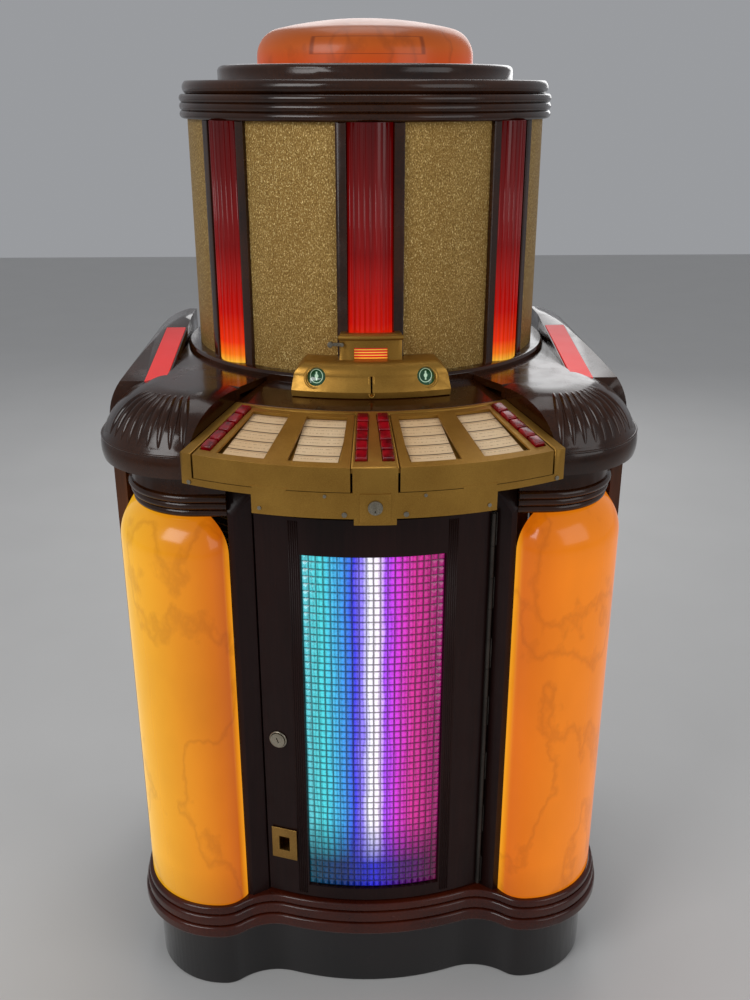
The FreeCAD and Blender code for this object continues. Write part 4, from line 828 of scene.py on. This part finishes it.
@dataclass
class Door:
    """Front door with its glass, reeds, hinge, lock and coin return."""
    body: str = "front_door"
    radius: float = 0.485
    reed: float = 0.0013
    reeds: int = 5
    reed_start: float = radians(14.55)
    reed_step: float = radians(0.42)
    glass_front: float = 0.4769
    prism_depth: float = 0.003
    ring_radius: float = 0.0148
    ring_bar: float = 0.0018
    ring_proud: float = 0.0012
    lock_turn: float = radians(-19.9)
    lock_height: float = 0.536

    def build(self) -> None:
        """Dress the door."""
        maker = Maker(self.body)
        maker.skin("front_door", Finish.MAROON, 0.0)
        maker.skin("door_window", Finish.PRISM, 0.0)
        maker.skin("coin_return_cup", Finish.BRASS, 0.0006)
        maker.skin("door_hinge_moving", Finish.STEEL, 0.0)
        Maker("front_door_lock").skin("door_lock", Finish.NICKEL, 0.0006)
        maker.register(self._prisms())
        maker.register(self._reeds())
        maker.register(self._lock_ring())

    def _lock_ring(self) -> Piece:
        """Raised ring round the door lock."""
        centre = about_drum(self.radius + self.ring_proud, self.lock_turn, self.lock_height)
        across = Vector((cos(self.lock_turn), sin(self.lock_turn), 0.0))
        path = [centre + across * aside + Vector((0.0, 0.0, up))
                for aside, up in circle(self.ring_radius, 36)]
        return swept("door_lock_ring", path, self.ring_bar, Finish.NICKEL, closed=True)

    def _prisms(self) -> Piece:
        """Small pyramids pressed into the glass, in columns and rows."""
        glass = Finish.PRISM.value
        recipe = Recipe("window_prisms", {
            "Columns": glass.columns, "Rows": glass.rows, "Half angle": glass.half, "Low": glass.low,
            "High": glass.high, "Front": self.glass_front, "Depth": self.prism_depth}, Finish.PRISM)
        columns, rows = recipe["Columns"], recipe["Rows"]
        number = recipe.index()
        row = recipe.maths("FLOOR", number / columns)
        column = number - row * columns
        angle = (column + 0.5) * (recipe["Half angle"] * 2.0) / columns - recipe["Half angle"]
        height = recipe["Low"] + (row + 0.5) * (recipe["High"] - recipe["Low"]) / rows
        position = recipe.around_drum(recipe["Front"], angle, height)
        pitch = 2 * glass.half * self.glass_front / glass.columns
        tall = (glass.high - glass.low) / glass.rows
        cone = recipe.made("GeometryNodeMeshCone", {
            "Vertices": 4, "Side Segments": 1, "Radius Top": 0.2, "Radius Bottom": sqrt(0.5),
            "Depth": recipe["Depth"]})
        upright = recipe.moved(cone, turn=(0.0, 0.0, pi / 4))
        facing = recipe.moved(upright, turn=(pi / 2, 0.0, 0.0))
        points = recipe.row(columns * rows, position)
        field = recipe.copies(points, facing, angle, (pitch * 0.98, 1.0, tall * 0.98))
        return recipe.result(field, smooth=False)

    def _reeds(self) -> Piece:
        """Upright half-round reeds beside the window."""
        recipe = Recipe("door_reeds", {
            "Count": self.reeds, "Start": self.reed_start, "Step": self.reed_step, "Radius": self.reed,
            "Reach": self.radius - 0.0003, "Low": 0.209, "Length": 0.743}, Finish.MAROON)
        number = recipe.index()
        side = (number / recipe["Count"]).above(0.9999) * 2.0 - 1.0
        place = number - recipe["Count"] * side.above(0.0)
        angle = side * (recipe["Start"] + recipe["Step"] * place)
        middle = recipe["Low"] + recipe["Length"] * 0.5
        position = recipe.around_drum(recipe["Reach"], angle, middle)
        rod = recipe.made("GeometryNodeMeshCylinder", {
            "Vertices": 12, "Radius": recipe["Radius"], "Depth": recipe["Length"]})
        points = recipe.row(recipe["Count"] * 2.0, position)
        return recipe.result(recipe.copies(points, rod, angle))


@dataclass
class Shoulders:
    """Shoulders with gill-like flutes, cheeks with red windows, and the deck."""
    body: str = "cabinet"
    centre_side: float = 0.285
    centre_front: float = -0.095
    crest_reach: float = 0.056
    crest: float = 1.140
    bend: float = 0.1054
    rib: float = 0.0078
    ribs: int = 9
    first: float = radians(3)
    step: float = radians(7.2)
    bead: float = 0.0022
    bead_height: float = 1.0625
    reach: float = 0.160
    rear: float = 0.329

    def build(self) -> None:
        """Dress the upper cabinet."""
        maker = Maker(self.body)
        maker.skin("shoulders", Finish.BROWN, 0.001)
        maker.skin("side_windows", Finish.CHEEK, 0.001)
        maker.skin("deck", Finish.BROWN, 0.001)
        for side, name in SIDES:
            maker.register(self._flutes(side, name))
        for side, name in SIDES:
            maker.register(self._bead(side, name))

    def _bead(self, side: int, name: str) -> Piece:
        """Half-round bead between a shoulder's flutes and its plain band."""
        turns = [radians(-58 + 4 * number) for number in range(38)]
        path = [(side * (self.centre_side + self.reach * sin(turn)),
                 self.centre_front - self.reach * cos(turn), self.bead_height) for turn in turns]
        path.append((side * (self.centre_side + self.reach), self.rear, self.bead_height))
        return swept(f"{name}_shoulder_bead", path, self.bead, Finish.BROWN)

    def _flutes(self, side: int, name: str) -> Piece:
        """Tapered ribs over one shoulder, as one piece."""
        recipe = Recipe(f"{name}_shoulder_flutes", {
            "Count": self.ribs, "First": self.first, "Step": self.step, "Rib": self.rib, "Bend": self.bend,
            "Crest reach": self.crest_reach, "Crest": self.crest, "Side": self.centre_side * side,
            "Front": self.centre_front}, Finish.BROWN)
        arc = recipe.made("GeometryNodeCurveArc", {
            "Resolution": 28, "Radius": recipe["Bend"] - 0.0038, "Start Angle": radians(21),
            "Sweep Angle": radians(60)}, mode="RADIUS")
        along = recipe.made("GeometryNodeSplineParameter", key="Factor")
        swell = recipe.maths("SINE", (along * 0.9 + 0.08) * pi).power(0.5)
        tapered = recipe.made("GeometryNodeSetCurveRadius", {"Curve": arc, "Radius": swell})
        ring = recipe.made("GeometryNodeCurvePrimitiveCircle", {
            "Resolution": 12, "Radius": recipe["Rib"]})
        inputs = {"Curve": tapered, "Profile Curve": ring, "Fill Caps": True}
        sweep = recipe.node("GeometryNodeCurveToMesh")
        if "Scale" in sweep.inputs:
            inputs["Scale"] = swell
        recipe.feed(sweep, inputs)
        standing = recipe.moved(recipe.out(sweep), turn=(pi / 2, 0.0, 0.0))
        shift = recipe.vector(recipe["Crest reach"], 0.0, recipe["Crest"] - recipe["Bend"])
        rib = recipe.moved(standing, shift)
        angle = (recipe["First"] + recipe["Step"] * recipe.index()) * side
        position = recipe.vector(recipe["Side"], recipe["Front"], 0.0)
        points = recipe.row(recipe["Count"], position)
        return recipe.result(recipe.copies(points, rib, angle - pi / 2))


@dataclass
class Drum:
    """Cloth-fronted drum, fluted pilasters, crown and dome."""
    body: str = "cabinet"
    bow_centre: float = 0.2897
    bow: float = 0.0413
    flutes: int = 9
    flute: float = 0.0021
    low: float = 1.151
    high: float = 1.5395
    spread: float = radians(100)
    side_angle: float = radians(47.8)

    def build(self) -> None:
        """Dress the drum."""
        maker = Maker(self.body)
        maker.skin("drum_frame", Finish.BROWN, 0.001)
        maker.skin("grille_panels", Finish.CLOTH, 0.0)
        maker.skin("pilasters", Finish.RED, 0.0)
        maker.skin("crown", Finish.BROWN, 0.0)
        maker.skin("dome", Finish.DOME, 0.0)
        for name, angle in (("left", -self.side_angle), ("middle", 0.0), ("right", self.side_angle)):
            maker.register(self._flutes(name, angle))

    def _flutes(self, name: str, centre: float) -> Piece:
        """Upright ribs on the pilaster at an angle about the drum axis, as one piece."""
        recipe = Recipe(f"{name}_pilaster_flutes", {
            "Count": self.flutes, "Spread": self.spread, "Bow": self.bow - 0.0005, "Rib": self.flute,
            "Bow centre": self.bow_centre, "Low": self.low, "High": self.high, "Centre": centre}, Finish.RED)
        low, high = recipe["Low"], recipe["High"]
        rod = recipe.made("GeometryNodeMeshCylinder", {
            "Vertices": 10, "Radius": recipe["Rib"], "Depth": high - low})
        lean = (recipe.index() / (recipe["Count"] - 1.0) - 0.5) * recipe["Spread"]
        lean_sine, lean_cosine = recipe.waves(lean)
        along = recipe["Bow centre"] + recipe["Bow"] * lean_cosine
        aside = recipe["Bow"] * lean_sine
        turn = recipe["Centre"]
        sine, cosine = recipe.waves(turn)
        position = recipe.vector(along * sine + aside * cosine,
                                 DRUM_AXIS - along * cosine + aside * sine, (low + high) * 0.5)
        points = recipe.row(recipe["Count"], position)
        return recipe.result(recipe.copies(points, rod, turn))


@dataclass
class Selector:
    """Sloping selector with covers, strips, buttons and lock, and the coin housing above it."""
    body: str = "cabinet"
    face: float = 0.5708
    tab_middle: float = radians(16)
    dial_side: float = 0.088
    dial_reach: float = 0.373
    dial_height: float = 1.157
    dial_lean: float = radians(62)
    dial_turn: float = radians(8)
    bezel: float = 0.0182
    bezel_bar: float = 0.0024
    collar_reach: float = 0.3462
    collar_height: float = 1.2165
    collar_bar: float = 0.0042
    slot_half: float = 0.0042
    slot_tall: float = 0.0175
    slot_middle: float = 1.1465
    slot_reach: float = 0.3857
    slot_bar: float = 0.0011
    face_bend: float = 1.137
    face_lean: float = 12 / 21
    tab_top: float = 1.0405
    tab_foot: float = 1.030
    tab_thickness: float = 0.0016

    def _bezel(self, side: int, name: str) -> Piece:
        """Raised round rim about one indicator lens."""
        turn = asin(self.dial_side / self.dial_reach) * side
        centre = about_drum(self.dial_reach, turn, self.dial_height)
        facing = Matrix.Rotation(self.dial_turn * side, 3, "Z") @ Matrix.Rotation(self.dial_lean, 3, "X")
        path = [centre + facing @ Vector((*corner, 0.0)) for corner in circle(self.bezel, 40)]
        return swept(f"{name}_dial_bezel", path, self.bezel_bar, Finish.GOLD, closed=True)

    def _collar(self) -> Piece:
        """Rolled rim round the foot of the middle pilaster."""
        turns = [radians(-8.6 + 0.86 * step) for step in range(21)]
        path = [about_drum(self.collar_reach, turn, self.collar_height) for turn in turns]
        return swept("collar_rim", path, self.collar_bar, Finish.GOLD)

    def _slot_rim(self) -> Piece:
        """Raised rim round the coin slot."""
        half, straight, steps = self.slot_half, self.slot_tall - self.slot_half, 12
        ring = []
        for end in (1, -1):
            for turn in (pi * step / steps for step in range(steps + 1)):
                height = self.slot_middle + end * (straight + half * sin(turn))
                depth = self.slot_reach - max(0.0, height - self.face_bend) * self.face_lean
                ring.append((end * half * cos(turn), DRUM_AXIS - depth, height))
        return swept("coin_slot_rim", ring, self.slot_bar, Finish.GOLD, closed=True)

    def _tab(self, side: int, name: str) -> Piece:
        """Step-down tab at the middle of a cover's front edge."""
        wide, narrow = radians(2.9), radians(2.1)
        middle = self.tab_middle * side
        outline = [(middle - wide, self.tab_top), (middle - narrow, self.tab_foot),
                   (middle + narrow, self.tab_foot), (middle + wide, self.tab_top)]
        return arc_plate(f"{name}_cover_tab", outline, self.face, self.tab_thickness, Finish.GOLD)

    def build(self) -> None:
        """Dress the selector and the coin housing."""
        maker = Maker(self.body)
        maker.skin("selector_housing", Finish.GOLD, 0.0012)
        maker.skin("title_strips", Finish.CARD, 0.0)
        maker.skin("coin_housing", Finish.GOLD, 0.001)
        maker.skin("coin_housing_windows", Finish.COIN_WINDOWS, 0.0008)
        maker.skin("screws", Finish.NICKEL, 0.0005)
        for sign, side in SIDES:
            cover = Maker(f"title_cover_{side}")
            cover.skin(f"title_cover_{side}", Finish.GOLD, 0.0008)
            cover.register(self._tab(sign, side))
            maker.register(self._bezel(sign, side))
        maker.register(self._collar())
        maker.register(self._slot_rim())
        Maker("selector_lock").skin("selector_lock", Finish.NICKEL, 0.0006)
        Maker("coin_lever").skin("coin_lever", Finish.NICKEL, 0.0006)
        for number in range(1, 21):
            name = f"button_{number:02d}"
            Maker(name).skin(name, Finish.BUTTON, 0.0012)


@dataclass
class Works:
    """What is inside: speaker, amplifier, changer, records, cash box, lamps."""
    body: str = "cabinet"

    def build(self) -> None:
        """Dress the works."""
        maker = Maker(self.body)
        plan = {
            "loudspeaker": Finish.BLACK, "amplifier": Finish.ENAMEL, "changer_frame": Finish.ENAMEL,
            "record_rack": Finish.SHELLAC, "lamps": Finish.LAMP, "colour_screens": Finish.FILM}
        for node, finish in plan.items():
            maker.skin(node, finish, 0.0005)
        Maker("turntable").skin("turntable", Finish.ENAMEL, 0.0008)
        Maker("tone_arm").skin("tone_arm", Finish.NICKEL, 0.0008)
        Maker("cash_box").skin("cash_box", Finish.ENAMEL, 0.0005)


@dataclass
class Studio:
    """Floor, soft light and camera."""
    eye: tuple[float, float, float] = (-0.045, -1.757, 1.586)
    pitch: float = radians(21.67)
    yaw: float = radians(1.81)
    lens: float = 37.2
    floor_half: float = 9.0

    def build(self) -> None:
        """Make the stage."""
        self._floor()
        self._world()
        self._lamp("key", (-2.4, -2.4, 3.0), 1.8, 52.0)
        self._lamp("fill", (2.6, -2.2, 2.2), 2.2, 22.0)
        self._lamp("top", (0.0, 0.9, 4.4), 2.0, 24.0)
        self._lamp("back", (0.5, 3.2, 2.6), 2.4, 34.0)
        self._camera()

    def _floor(self) -> None:
        """Plain pale floor."""
        mesh = bpy.data.meshes.new("floor")
        work = bmesh.new()
        bmesh.ops.create_grid(work, x_segments=1, y_segments=1, size=self.floor_half)
        work.to_mesh(mesh)
        work.free()
        floor = linked("floor", mesh)
        paint = Paint("pale_floor")
        cloud = paint.noise(3.0, 3.0)
        colour = paint.blend(cloud, (0.55, 0.545, 0.535), (0.6, 0.595, 0.585))
        mesh.materials.append(paint.apply(Base_Color=colour, Roughness=0.5 + cloud * 0.1))

    @staticmethod
    def _world() -> None:
        """Even pale surroundings."""
        world = bpy.data.worlds.new("studio")
        world.use_nodes = True
        background = world.node_tree.nodes["Background"]
        background.inputs["Color"].default_value = (0.8, 0.82, 0.86, 1.0)
        background.inputs["Strength"].default_value = 0.4
        bpy.context.scene.world = world
        bpy.context.scene.view_settings.view_transform = "Standard"

    def _lamp(self, name: str, place: Sequence[float], size: float, power: float) -> None:
        """Large soft square light that faces the middle of the object."""
        data = bpy.data.lights.new(name, "AREA")
        data.size = size
        data.energy = power
        lamp = linked(name, data)
        lamp.location = Vector(place)
        lamp.rotation_euler = (Vector((0, 0, 0.95)) - lamp.location).to_track_quat("-Z", "Y").to_euler()

    def _camera(self) -> None:
        """Camera just above the selector's height, looking down."""
        data = bpy.data.cameras.new("camera")
        data.sensor_fit = "VERTICAL"
        data.sensor_height = 36.0
        data.lens = self.lens
        camera = linked("camera", data)
        camera.location = Vector(self.eye)
        aim = Vector((sin(self.yaw) * cos(self.pitch), cos(self.yaw) * cos(self.pitch),
                      -sin(self.pitch)))
        camera.rotation_euler = aim.to_track_quat("-Z", "Y").to_euler()
        bpy.context.scene.camera = camera


def main() -> None:
    """Build every sub-assembly in order."""
    logging.basicConfig(level=logging.INFO, format="%(message)s")
    Studio().build()
    for assembly in (Base(), Door(), Shoulders(), Drum(), Selector(), Works()):
        assembly.build()


if __name__ == "__main__":
    main()
